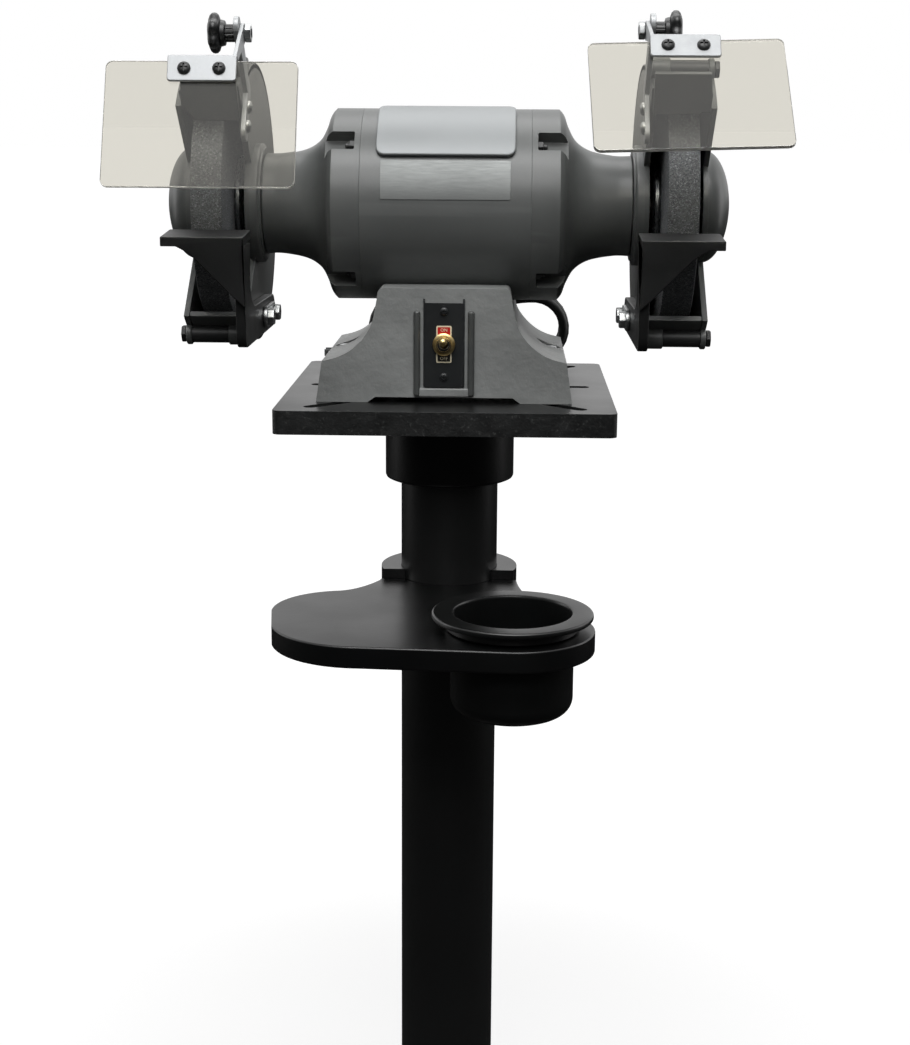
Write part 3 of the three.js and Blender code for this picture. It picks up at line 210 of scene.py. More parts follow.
finishes = {
    # Stoved black enamel on an iron casting: deep black, soft sheen, shallow orange peel
    "stand_black": paint({
        "name": "blackEnamelSmooth", "coats": ("#060607", "#090a0a", "#1c1d1e", "#2a2b2b"),
        "driftMm": 90, "fleckMm": 2.2, "fleckShare": 0.12, "edgeShare": 0.5, "rough": (0.3, 0.38),
        "skin": [(3.5, 0.05), (0.9, 0.012)]}),
    # The same enamel on an as-cast edge: sand grain shows through as a pebbled skin
    "cast_black": paint({
        "name": "blackEnamelSandCast", "coats": ("#0c0d0d", "#151616", "#4a4b4a", "#3a3b3b"),
        "driftMm": 12, "fleckMm": 2.4, "fleckShare": 0.6, "edgeShare": 0.5, "rough": (0.42, 0.55),
        "skin": [(4.0, 0.35), (1.5, 0.12)]}),
    # Enamel on a pressed pot: as black as the stand, smoother and a little glossier
    "pot_black": paint({
        "name": "blackEnamelPot", "coats": ("#0a0b0b", "#0f1010", "#1c1d1d", "#2a2b2b"),
        "driftMm": 70, "fleckMm": 1.8, "fleckShare": 0.1, "edgeShare": 0.4, "rough": (0.28, 0.36),
        "skin": [(2.5, 0.03), (0.8, 0.01)]}),
    # Satin grey enamel on machined iron and pressed steel: even mid grey with a fine grain
    "casting_grey": paint({
        "name": "greyEnamelSatin", "coats": ("#515352", "#585a59", "#6b6d6c", "#707271"),
        "driftMm": 80, "fleckMm": 1.6, "fleckShare": 0.15, "edgeShare": 0.35, "rough": (0.34, 0.42),
        "skin": [(1.6, 0.03), (0.8, 0.012)]}),
    # Grey enamel on a sand casting: lumps, pits and a leathery skin under the paint; its coats are lighter
    # than the motor's satin grey as painted light, for the front light on the pedestal
    "sand_grey": paint({
        "name": "greyEnamelSandCastPaintedLight", "coats": ("#7c7e7d", "#8a8c8b", "#a4a6a5", "#9c9e9d"),
        "driftMm": 45, "fleckMm": 2.0, "fleckShare": 0.25, "edgeShare": 0.3, "rough": (0.38, 0.48),
        "skin": [(20, 1.1), (6.5, 0.45), (2.4, 0.12)]}),
    # Dark enamel on iron rests, lighter along the edges as wear from work and as painted highlight
    "rest_iron": paint({
        "name": "darkEnamelRest", "coats": ("#0d0e0e", "#121313", "#2c2d2d", "#4a4b4b"),
        "driftMm": 40, "fleckMm": 1.6, "fleckShare": 0.2, "edgeShare": 0.55, "rough": (0.4, 0.5),
        "skin": [(2.2, 0.06), (0.8, 0.02)]}),
    # Zinc-plated bolts: pale blue-grey metal with a cloudy passivated skin
    "fastener_steel": metal({
        "name": "zincPlatedBolts", "dark": "#8d8f90", "light": "#b9bbbb", "cloudMm": 6, "lineMm": 0.6,
        "stretch": (1, 1, 1), "rough": (0.28, 0.42), "lineDepthMm": 0.01}),
    # Turned steel: fine tool lines round the axis
    "turned_steel": metal({
        "name": "turnedSteel", "dark": "#7d7f80", "light": "#a0a2a2", "cloudMm": 18, "lineMm": 0.7,
        "stretch": (1, 0.15, 0.15), "rough": (0.22, 0.38), "lineDepthMm": 0.015}),
    # Varnished copper wire: warm brown, ribbed along the turns of the coils
    "winding_copper": metal({
        "name": "varnishedCopperWinding", "dark": "#8a4d28", "light": "#b5713f", "cloudMm": 9, "lineMm": 1.1,
        "stretch": (0.1, 1, 1), "rough": (0.25, 0.4), "lineDepthMm": 0.2}),
    # Zinc on pressed steel strip: light grey, half metal and half bloom, faintly mottled
    "zinc_plate": paint({
        "name": "dullZincStrip", "coats": ("#9a9c9e", "#a6a8a9", "#b9bbbb", "#c6c8c8"),
        "driftMm": 9, "fleckMm": 1.4, "fleckShare": 0.4, "edgeShare": 0.4, "rough": (0.42, 0.55),
        "skin": [(0.9, 0.012)], "fixed": {"Metallic": 0.5}}),
    # Grey fused alumina wheel: matt, speckled and rough to the eye
    "abrasive": grit({
        "name": "vitrifiedGreyGrit", "grainMm": 0.7, "depthMm": 0.2, "bond": "#4e5052", "grain": "#6b6d6f",
        "grainLight": "#7e8082", "bright": "#acaeb0", "rough": (0.7, 1.0)}),
    # Smoked polycarbonate: clear, slightly warm and grey, with sharp reflections
    "clear_shield": clearSheet({
        "name": "smokedPolycarbonate", "tint": "#d8d5cb", "smearMm": 40, "rough": (0.0, 0.03)}),
    # Moulded nylon: near black with soft, spread highlights
    "knob_plastic": moulded({
        "name": "blackNylonMoulded", "dark": "#111212", "light": "#181919", "cloudMm": 12, "grainMm": 0.7,
        "grainDepthMm": 0.03, "rough": (0.3, 0.45), "fixed": {"IOR": 1.53}}),
    # Black enamel on thin pressed sheet: even, with edges lightened as wear and as painted highlight
    "switch_black": paint({
        "name": "blackEnamelSheet", "coats": ("#191b1c", "#1f2122", "#2c2e2f", "#4a4c4d"),
        "driftMm": 25, "fleckMm": 1.2, "fleckShare": 0.15, "edgeShare": 0.5, "rough": (0.32, 0.42),
        "skin": [(1.2, 0.02)]}),
    # Bright brass, turned and lacquered: pale gold with streaked highlights
    "switch_brass": metal({
        "name": "brightBrass", "dark": "#c9a866", "light": "#e6cf98", "cloudMm": 4, "lineMm": 0.5,
        "stretch": (1, 0.2, 1), "rough": (0.28, 0.42), "lineDepthMm": 0.01}),
    # Silver lacquer over a pressed plate, left bare
    "badge_silver": paint({
        "name": "silverLacquerPlate", "coats": ("#878a8b", "#8d9091", "#999b9b", "#a2a4a4"),
        "driftMm": 60, "fleckMm": 0.9, "fleckShare": 0.2, "edgeShare": 0.3, "rough": (0.42, 0.5),
        "skin": [(0.9, 0.006)], "fixed": {"Metallic": 0.2}}),
    # Rubber jacket: dull black that hardly reflects
    "cord_rubber": moulded({
        "name": "blackRubberJacket", "dark": "#141515", "light": "#1c1d1d", "cloudMm": 15, "grainMm": 0.9,
        "grainDepthMm": 0.03, "rough": (0.5, 0.62), "fixed": {"IOR": 1.52}}),
}
for part in frame["record"]["subparts"]:
    mesh = nodes[part["node"]].data
    mesh.materials.clear()
    mesh.materials.append(finishes[part["material_slot"]])


# Camera: where the photograph was taken from, with its yaw, dip and roll

cameraSpot = {"place": (48.3, -1530.1, tableTop + 228.2), "yaw": 1.617, "dip": 12.983, "roll": -0.371,
              "lens": 60.13, "sensor": 36, "clip": (0.05, 60)}


def makeCamera(spec):
    yaw, dip, roll = (math.radians(spec[key]) for key in ("yaw", "dip", "roll"))
    look = Vector((-math.sin(yaw) * math.cos(dip), math.cos(yaw) * math.cos(dip), -math.sin(dip)))
    across = Vector((math.cos(yaw), math.sin(yaw), 0))
    down = look.cross(across)
    right = across * math.cos(roll) + down * math.sin(roll)
    below = down * math.cos(roll) - across * math.sin(roll)
    camera = bpy.data.objects.new("camera", bpy.data.cameras.new("camera"))
    camera.data.lens = spec["lens"]
    camera.data.sensor_width = spec["sensor"]
    camera.data.clip_start, camera.data.clip_end = spec["clip"]
    turn = Matrix((right, -below, -look)).transposed().to_4x4()
    camera.matrix_world = Matrix.Translation(Vector(spec["place"]) * mm) @ turn
    bpy.context.scene.collection.objects.link(camera)
    bpy.context.scene.camera = camera


makeCamera(cameraSpot)
bpy.context.scene.view_settings.view_transform = "Standard"


# Studio: white backdrop behind, dim room in front, two lamps overhead, two strips at the sides, a front fill

studio = {
    "floor": {"half": 200.0, "dark": "#2a2a2a", "pale": "#959595", "fade": (0.3, 1.3), "glow": (0.74, 0.97)},
    "world": {"behind": 1.0, "front": 0.10, "ceiling": 1.0, "fill": 0.2, "turn": (-0.35, 0.45),
              "rise": (0.3, 0.65)},
    "lamps": [
        {"name": "overheadFront", "place": (0.0, -1.0, 2.5), "aim": (0, -0.2, 0.95), "size": (1.7, 0.6),
         "watts": 27},
        {"name": "overheadBack", "place": (0.0, 0.6, 2.5), "aim": (0, 0.1, 0.95), "size": (1.7, 0.9),
         "watts": 14},
        {"name": "stripLeft", "place": (-1.7, 0.5, 1.3), "aim": (0, 0, 0.9), "size": (0.5, 1.6), "watts": 4},
        {"name": "stripRight", "place": (1.7, 0.5, 1.3), "aim": (0, 0, 0.9), "size": (0.5, 1.6), "watts": 4},
        {"name": "frontFill", "place": (0.1, -2.1, 2.3), "aim": (0, 0, 0.9), "size": (1.2, 0.6), "watts": 15},
    ],
}


# Which rays see the white backdrop, the camera's and those through glass, and which are mirror rays
def rayKinds(tree):
    path = addNode(tree, "ShaderNodeLightPath")
    either = addNode(tree, "ShaderNodeMath", {"operation": "MAXIMUM"}, {
        0: path.outputs["Is Camera Ray"], 1: path.outputs["Is Transmission Ray"]})
    return either.outputs["Value"], path.outputs["Is Glossy Ray"]


def makeFloor(spec):
    bm = bmesh.new()
    bmesh.ops.create_grid(bm, x_segments=1, y_segments=1, size=spec["half"])
    mesh = bpy.data.meshes.new("studioFloor")
    bm.to_mesh(mesh)
    bm.free()
    floor = bpy.data.objects.new("studioFloor", mesh)
    bpy.context.scene.collection.objects.link(floor)
    paper = bpy.data.materials.new("paleFloorPaper")
    tree = clearedTree(paper)
    seen = rayKinds(tree)[0]
    reach = addNode(tree, "ShaderNodeVectorMath", {"operation": "LENGTH"}, {
        0: addNode(tree, "ShaderNodeTexCoord").outputs["Object"]})
    level = addNode(tree, "ShaderNodeMapRange", {"interpolation_type": "SMOOTHSTEP"}, {
        "Value": reach.outputs["Value"], "From Min": spec["fade"][0], "From Max": spec["fade"][1],
        "To Min": spec["glow"][0], "To Max": spec["glow"][1]})
    glow = addNode(tree, "ShaderNodeEmission", links={
        "Color": (1, 1, 1, 1), "Strength": level.outputs["Result"]})
    pale, dark = (addNode(tree, "ShaderNodeBsdfDiffuse", links={"Color": linear(spec[key])}).outputs["BSDF"]
                  for key in ("pale", "dark"))
    shown = addNode(tree, "ShaderNodeAddShader", links={0: pale, 1: glow.outputs["Emission"]})
    both = addNode(tree, "ShaderNodeMixShader", links={0: seen, 1: dark, 2: shown.outputs["Shader"]})
    addNode(tree, "ShaderNodeOutputMaterial", links={"Surface": both.outputs["Shader"]})
    mesh.materials.append(paper)


def makeWorld(spec):
    world = bpy.data.worlds.new("studioWorld")
    bpy.context.scene.world = world
    tree = clearedTree(world)
    seen, glossy = rayKinds(tree)
    way = addNode(tree, "ShaderNodeSeparateXYZ", links={
        "Vector": addNode(tree, "ShaderNodeTexCoord").outputs["Generated"]})
    backward = addNode(tree, "ShaderNodeMapRange", {"interpolation_type": "SMOOTHSTEP"}, {
        "Value": way.outputs["Y"], "From Min": spec["turn"][0], "From Max": spec["turn"][1],
        "To Min": spec["front"], "To Max": spec["behind"]})
    upward = addNode(tree, "ShaderNodeMapRange", {"interpolation_type": "SMOOTHSTEP"}, {
        "Value": way.outputs["Z"], "From Min": spec["rise"][0], "From Max": spec["rise"][1],
        "To Max": spec["ceiling"]})
    around = addNode(tree, "ShaderNodeMath", {"operation": "MAXIMUM"}, {
        0: backward.outputs["Result"], 1: upward.outputs["Result"]})
    mirror = addNode(tree, "ShaderNodeMix", {"data_type": "FLOAT"}, {
        0: glossy, 2: spec["fill"], 3: around.outputs["Value"]})
    strength = addNode(tree, "ShaderNodeMix", {"data_type": "FLOAT"}, {
        0: seen, 2: mirror.outputs[0], 3: spec["behind"]})
    sky = addNode(tree, "ShaderNodeBackground", links={
        "Color": (1, 1, 1, 1), "Strength": strength.outputs[0]})
    addNode(tree, "ShaderNodeOutputWorld", links={"Surface": sky.outputs["Background"]})


def makeLamps(lamps):
    for lamp in lamps:
        light = bpy.data.lights.new(lamp["name"], "AREA")
        light.shape = "RECTANGLE"
        light.size, light.size_y = lamp["size"]
        light.energy = lamp["watts"]
        holder = bpy.data.objects.new(lamp["name"], light)
        holder.location = lamp["place"]
        toward = Vector(lamp["aim"]) - Vector(lamp["place"])
        holder.rotation_euler = toward.to_track_quat("-Z", "Y").to_euler()
        bpy.context.scene.collection.objects.link(holder)


makeFloor(studio["floor"])
makeWorld(studio["world"])
makeLamps(studio["lamps"])
print("studio ready")


# Mesh making, in millimetres of the shared frame

def polarPoint(radius, degrees):
    return radius * math.cos(math.radians(degrees)), radius * math.sin(math.radians(degrees))


def hexagon(reach, centre):
    return [(centre[0] + u, centre[1] + v) for u, v in (polarPoint(reach, 60 * i) for i in range(6))]


# Lifts the points of an outline from the table's height to the floor's
def aboveTable(points):
    return [(across, tableTop + z) for across, z in points]


# Points of an arc in a plane, from one angle to the other, both in degrees
def arc(centre, radius, start, end, steps):
    turns = [math.radians(start + (end - start) * i / steps) for i in range(steps + 1)]
    return [(centre[0] + radius * math.cos(t), centre[1] + radius * math.sin(t)) for t in turns]


def roundedRectangle(halfWide, halfHigh, corner, centre=(0, 0), steps=8):
    x, y = halfWide - corner, halfHigh - corner
    points = []
    for sx, sy, start in ((1, 1, 0), (-1, 1, 90), (-1, -1, 180), (1, -1, 270)):
        points += arc((centre[0] + sx * x, centre[1] + sy * y), corner, start, start + 90, steps)
    return points


def slotOutline(first, last, width, steps=10):
    lean = math.degrees(math.atan2(last[1] - first[1], last[0] - first[0]))
    return (arc(last, width / 2, lean - 90, lean + 90, steps)
            + arc(first, width / 2, lean + 90, lean + 270, steps))


# A point given across an axis and along it: (y, z) on x, (x, z) on y, (x, y) on z
def onAxis(axis, across, along):
    u, v = across
    return {"x": (along, u, v), "y": (u, along, v), "z": (u, v, along)}[axis]


def weld(bm):
    bmesh.ops.remove_doubles(bm, verts=bm.verts, dist=0.001)
    bmesh.ops.dissolve_degenerate(bm, edges=bm.edges, dist=0.0005)
    bmesh.ops.recalc_face_normals(bm, faces=bm.faces)
    return bm


def extruded(axis, outline, start, end):
    bm = bmesh.new()
    rim = [bm.verts.new(onAxis(axis, point, start)) for point in outline]
    face = bm.faces.new(rim)
    grown = bmesh.ops.extrude_face_region(bm, geom=[face])
    far = [v for v in grown["geom"] if isinstance(v, bmesh.types.BMVert)]
    bmesh.ops.translate(bm, verts=far, vec=Vector(onAxis(axis, (0, 0), end - start)))
    return weld(bm)


# A profile of (along, radius) pairs turned about an axis through the centre
def turnedPiece(axis, profile, centre, steps=96):
    bm = bmesh.new()
    chain = [bm.verts.new(onAxis(axis, (centre[0] + radius, centre[1]), along)) for along, radius in profile]
    for first, second in zip(chain, chain[1:]):
        bm.edges.new((first, second))
    bmesh.ops.spin(bm, geom=bm.verts[:] + bm.edges[:], cent=onAxis(axis, centre, 0),
                   axis=onAxis(axis, (0, 0), 1), dvec=(0, 0, 0), angle=2 * math.pi, steps=steps,
                   use_merge=True, use_normal_flip=False, use_duplicate=False)
    return weld(bm)


def joined(*parts):
    total = parts[0]
    for extra in parts[1:]:
        mesh = bpy.data.meshes.new("joining")
        extra.to_mesh(mesh)
        extra.free()
        total.from_mesh(mesh)
        bpy.data.meshes.remove(mesh)
    return total


# Boolean work through throwaway objects
def carved(bm, tools, operation="DIFFERENCE"):
    holders = []
    for index, shape in enumerate([bm, *tools]):
        mesh = bpy.data.meshes.new("carving")
        shape.to_mesh(mesh)
        shape.free()
        holder = bpy.data.objects.new("carving%d" % index, mesh)
        bpy.context.scene.collection.objects.link(holder)
        holders.append(holder)
    for tool in holders[1:]:
        knife = holders[0].modifiers.new("knife", "BOOLEAN")
        knife.operation = operation
        knife.solver = "EXACT"
        knife.object = tool
    depsgraph = bpy.context.evaluated_depsgraph_get()
    result = bpy.data.meshes.new_from_object(holders[0].evaluated_get(depsgraph))
    fresh = bmesh.new()
    fresh.from_mesh(result)
    for holder in holders:
        mesh = holder.data
        bpy.data.objects.remove(holder)
        bpy.data.meshes.remove(mesh)
    bpy.data.meshes.remove(result)
    bmesh.ops.remove_doubles(fresh, verts=fresh.verts, dist=0.002)
    bmesh.ops.dissolve_limit(fresh, angle_limit=math.radians(0.5), verts=fresh.verts, edges=fresh.edges)
    return fresh


# Rounds the edges that turn by more than the angle
def softened(bm, width, segments=2, angle=28, where=None):
    edges = [e for e in bm.edges if len(e.link_faces) == 2
             and math.degrees(e.calc_face_angle(0)) > angle and (where is None or where(e))]
    bmesh.ops.bevel(bm, geom=edges, offset=width, offset_type="OFFSET", segments=segments, profile=0.5,
                    affect="EDGES", clamp_overlap=True, material=-1)
    return bm


def moved(bm, vec):
    bmesh.ops.translate(bm, verts=bm.verts, vec=Vector(vec))
    return bm


def tilted(bm, degrees, centre):
    bmesh.ops.rotate(bm, verts=bm.verts, cent=Vector(centre),
                     matrix=Matrix.Rotation(math.radians(degrees), 3, "X"))
    return bm


# The other hand of a piece made for the right side
def handed(bm, side):
    if side < 0:
        bmesh.ops.scale(bm, verts=bm.verts, vec=(-1, 1, 1))
        bmesh.ops.reverse_faces(bm, faces=bm.faces)
    return bm


def addPiece(name, bm, body, slot, replaced=(), finish=None, smooth=40, pick=None):
    bmesh.ops.scale(bm, verts=bm.verts, vec=(mm, mm, mm))
    mesh = bpy.data.meshes.new(name)
    bm.to_mesh(mesh)
    bm.free()
    mesh.materials.append(finish or finishes[slot])
    if pick:  # a second finish on the faces that the test picks
        mesh.materials.append(pick[0])
        for polygon in mesh.polygons:
            polygon.material_index = int(pick[1](polygon))
    mesh.polygons.foreach_set("use_smooth", [True] * len(mesh.polygons))
    mesh.set_sharp_from_angle(angle=math.radians(smooth))
    piece = bpy.data.objects.new(name, mesh)
    bpy.context.scene.collection.objects.link(piece)
    weighted = piece.modifiers.new("weighted", "WEIGHTED_NORMAL")
    weighted.keep_sharp = True
    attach(piece, body)
    if replaced:
        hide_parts(*replaced)
    return piece


# Mains lead: out of the base at the back, four loops in a standing hank, a tail to the plug

lead = {
    "radius": 4, "exitX": 44, "exitY": 100, "exitZ": 37.3, "straight": 8, "bend": 32,
    "hankX": 15, "run": 120, "inner": 24, "outer": 33, "waist": 7, "layerStep": 9, "layers": 4,
    "climb": 0.22, "perLoop": 60, "bendSteps": 12, "joinSteps": 14, "tailSteps": 18,
    "plugEntry": (-50, 92.5, 13.8),
}


def ease(t):
    return t * t * (3 - 2 * t)


def loopSpot(spec, turn, radius, y):
    fold = math.pi * radius
    half = spec["run"] / 2
    along = (turn - math.floor(turn)) * (2 * spec["run"] + 2 * fold)
    if along < fold:
        x, z = -half - radius * math.sin(along / radius), -radius * math.cos(along / radius)
    elif along < fold + spec["run"]:
        x = -half + along - fold
        z = radius - spec["waist"] * (1 - (x / half) ** 2) ** 2
    elif along < 2 * fold + spec["run"]:
        swing = (along - fold - spec["run"]) / radius
        x, z = half + radius * math.sin(swing), radius * math.cos(swing)
    else:
        x = half - (along - 2 * fold - spec["run"])
        z = -radius + spec["waist"] * (1 - (x / half) ** 2) ** 2
    return Vector((spec["hankX"] + x, y, spec["exitZ"] + z))


# A stretch that shifts sideways and in height while it runs along x, straight at both ends
def shifted(first, last, straight, steps):
    step = -straight if first.x > last.x else straight
    a, b = Vector((first.x + step, first.y, first.z)), Vector((last.x - step, last.y, last.z))
    points = [first]
    for i in range(steps + 1):
        point = a.lerp(b, ease(i / steps))
        point.x = a.x + (b.x - a.x) * i / steps
        points.append(point)
    return points + [last]


def leadRoute(spec):
    straight = 2 * spec["radius"]
    turnY = spec["exitY"] + spec["straight"]
    backY = turnY + spec["bend"] + gap
    points = [Vector((spec["exitX"], spec["exitY"], spec["exitZ"]))]
    for i in range(spec["bendSteps"] + 1):
        swing = i / spec["bendSteps"] * math.pi / 2
        points.append(Vector((spec["exitX"] - spec["bend"] * (1 - math.cos(swing)),
                              turnY + (backY - turnY) * math.sin(swing), spec["exitZ"])))
    lastLap = 2 * spec["run"] + 2.2 * math.pi * spec["inner"]  # its folds are a tenth over the inner size
    turns = spec["layers"] - spec["run"] / lastLap
    steps = round(turns * spec["perLoop"])
    loops = []
    for i in range(steps + 1):
        turn = i / steps * turns
        layer = min(int(turn), spec["layers"] - 1)
        share = turn - layer
        grow = share if layer % 2 == 0 else 1 - share
        climb = max(0, (share - 1 + spec["climb"]) / spec["climb"])
        radius = spec["inner"] + (spec["outer"] - spec["inner"]) * grow
        loops.append(loopSpot(spec, turn, radius, backY - spec["layerStep"] * (layer + ease(climb))))
    start = loops[0] + Vector((straight, 0, 0))
    points += shifted(points[-1], start, straight, spec["joinSteps"])[1:]
    points += loops
    end = loops[-1] - Vector((straight, 0, 0))
    points += shifted(end, Vector(spec["plugEntry"]), straight, spec["tailSteps"])
    return [Vector((p.x, p.y, p.z + tableTop)) * mm for p in points]


def makeLead(spec):
    route = leadRoute(spec)
    curve = bpy.data.curves.new("mainsLead", "CURVE")
    curve.dimensions = "3D"
    curve.bevel_depth = spec["radius"] * mm
    curve.bevel_resolution = 4
    curve.use_fill_caps = True
    spline = curve.splines.new("POLY")
    spline.points.add(len(route) - 1)
    for point, spot in zip(spline.points, route):
        point.co = (*spot, 1)
    spline.use_smooth = True
    curve.materials.append(finishes["cord_rubber"])
    cord = bpy.data.objects.new("mainsLead", curve)
    bpy.context.scene.collection.objects.link(cord)
    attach(cord, "frame")
    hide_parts("cord_lead", "cord_hank", "cord_tail")
    length = sum((b - a).length for a, b in zip(route, route[1:]))
    print("mains lead is %.3f m long" % length)
    return cord, route[0], length


mainsLead, leadExit, leadLength = makeLead(lead)


# Smooth lines through a few points

def bend(first, control, last, steps=8):
    points = []
    for i in range(1, steps + 1):
        t = i / steps
        points.append(tuple((1 - t) ** 2 * a + 2 * t * (1 - t) * c + t * t * b
                            for a, c, b in zip(first, control, last)))
    return points


def smoothLine(points, steps=5):
    line = [points[0]]
    for i in range(len(points) - 1):
        before, a, b = points[max(0, i - 1)], points[i], points[i + 1]
        after = points[min(len(points) - 1, i + 2)]
        for k in range(1, steps + 1):
            t = k / steps
            line.append(tuple(0.5 * (2 * q + (r - p) * t + (2 * p - 5 * q + 4 * r - s) * t * t
                                     + (3 * q - p - 3 * r + s) * t ** 3)
                              for p, q, r, s in zip(before, a, b, after)))
    return line


def block(x, y, z):
    return extruded("z", [(x[0], y[0]), (x[1], y[0]), (x[1], y[1]), (x[0], y[1])], z[0], z[1])


def rod(axis, radius, start, end, centre, steps=48, round=0.0):
    ends = [(start, 0), (start, radius - round), (start + round, radius),
            (end - round, radius), (end, radius - round), (end, 0)]
    return turnedPiece(axis, ends, centre, steps)


# Hexagon head or nut with a chamfered outer face; flats is half of the distance across them
def hexHead(axis, flats, start, end, centre):
    reach = flats / math.cos(math.pi / 6)
    return softened(extruded(axis, hexagon(reach, centre), start, end), 0.14 * flats, 2)


# Pan head with a crossed recess, on the outer end of a shank; direction is -1 or 1 along the axis
def panScrew(axis, radius, face, direction, centre):
    tall = 0.62 * radius
    dome = [(0, radius), (0.35 * tall, radius), (0.7 * tall, 0.86 * radius), (0.93 * tall, 0.55 * radius),
            (tall, 0)]
    profile = [(face - direction * 0.4, 0), (face - direction * 0.4, radius)]
    profile += [(face + direction * up, wide) for up, wide in dome]
    head = turnedPiece(axis, profile, centre, 32)
    lo, hi = sorted((face + direction * 0.45 * tall, face + direction * 2 * tall))
    arms = []
    for wide, high in ((0.62, 0.14), (0.14, 0.62)):
        outline = [(centre[0] + sx * wide * radius, centre[1] + sy * high * radius)
                   for sx, sy in ((-1, -1), (1, -1), (1, 1), (-1, 1))]
        arms.append(extruded(axis, outline, lo, hi))
    return carved(head, arms)


grinderX = -2  # the grinder is bolted down a little left of the column


def onGrinder(bm, side=1):
    return moved(handed(bm, side), (grinderX, 0, 0))


# Stand

stand = {
    "tableHalf": (139, 150), "tableThick": 19.5, "tableCorner": 7, "tableEdge": 1.2,
    "slotWide": 11, "midSlot": (74, 117, -4), "cornerSlot": (110, 127, 26),
    "boss": 57, "bossTall": 62, "column": 43, "columnWall": 4,
    "baseHalf": (185, 175), "baseCorner": 70, "baseRim": 24, "baseDome": 150, "bossTop": 118, "socket": 30,
}


def makeTable(spec):
    under = tableTop - spec["tableThick"]
    plate = extruded("z", roundedRectangle(*spec["tableHalf"], spec["tableCorner"]), under, tableTop)
    cuts = []
    inner, outer, y = spec["midSlot"]
    cornerX, cornerY, run = spec["cornerSlot"]
    for sx in (-1, 1):
        cuts.append(slotOutline((sx * inner, y), (sx * outer, y), spec["slotWide"]))
        for sy in (-1, 1):
            far = (sx * cornerX, sy * cornerY)
            cuts.append(slotOutline((far[0] - sx * run, far[1] - sy * run), far, spec["slotWide"]))
    plate = carved(plate, [extruded("z", cut, under - 2, tableTop + 2) for cut in cuts])
    softened(plate, spec["tableEdge"], 3)
    low, wide, bore = under - spec["bossTall"], spec["boss"], spec["column"] + gap
    boss = turnedPiece("z", [
        (low, bore + 1), (low, wide - 2.5), (low + 0.8, wide - 0.8), (low + 2.5, wide), (under - 4, wide),
        (under - 1.4, wide + 0.9), (under + 0.2, wide + 3.2), (under + 0.2, bore), (low + 1, bore),
        (low, bore + 1)], (0, 0))
    topZ = (under + 0.5 * spec["tableThick"]) * mm
    addPiece("tableCasting", joined(plate, boss), "frame", "stand_black", ["table_casting"],
             pick=(finishes["cast_black"],
                   lambda p: abs(p.normal.z) < 0.6 and abs(p.center.z - topZ) < 0.011))


def makeColumn(spec):
    low, high = spec["socket"] + gap, tableTop - spec["tableThick"] - gap
    inner = spec["column"] - spec["columnWall"]
    tube = turnedPiece("z", [(low, inner), (low, spec["column"]), (high, spec["column"]), (high, inner),
                             (low, inner)], (0, 0), 128)
    addPiece("columnTube", tube, "frame", "stand_black", ["column"])


def makeFloorBase(spec):
    rim, wide, top, boss = spec["baseRim"], spec["baseDome"], spec["bossTop"], spec["boss"]
    slab = extruded("z", roundedRectangle(*spec["baseHalf"], spec["baseCorner"], steps=16), 0, rim)
    softened(slab, 6, 4, where=lambda e: min(v.co.z for v in e.verts) > 1)
    rise, neck, bore, steps = top - rim, boss + 4, spec["column"] + gap, 16
    profile = [(8, 0), (8, wide), (rim - 0.4, wide)]
    for i in range(1, steps + 1):
        t = i / steps
        swing = 1 - math.sin(t * math.pi / 2)
        profile.append((rim + 0.62 * rise * t * t, neck + (wide - neck) * swing))
    profile += [(top - 2.5, boss), (top - 0.7, boss - 0.8), (top, boss - 2.5), (top, bore + 1),
                (top - 1, bore), (spec["socket"], bore), (spec["socket"], 0)]
    dome = turnedPiece("z", profile, (0, 0), 128)
    addPiece("floorBase", joined(slab, dome), "frame", "stand_black", ["floor_base"])


def makeSetScrews(spec):
    heights = {"base_set_screw": spec["bossTop"] - 18,
               "table_set_screw": tableTop - spec["tableThick"] - spec["bossTall"] / 2}
    for node, z in heights.items():
        shank = rod("y", 5, spec["column"] + gap, spec["boss"] + 6, (0, z), 32)
        head = hexHead("y", 8, spec["boss"] + 5, spec["boss"] + 13, (0, z))
        addPiece(node.replace("_set_screw", "SetScrew"), joined(shank, head), "frame", "fastener_steel",
                 [node])


makeTable(stand)
makeColumn(stand)
makeFloorBase(stand)
makeSetScrews(stand)
print("stand modelled")


# Tool tray with its clamp, and the quench pot that hangs in it

tray = {
    "top": 628, "thick": 18, "left": -145, "front": -231, "back": -62, "corner": 62, "frontArc": 76,
    "clampArc": 61, "split": -20, "bore": 43.3, "clampTop": 636.5, "seatY": 4, "seat": 6.4, "boltX": 52.5,
    "socket": 2.9, "edge": 1.6,
    "pot": (57, -172), "ring": 67, "ringLean": 51.6, "hole": 50.8,
}


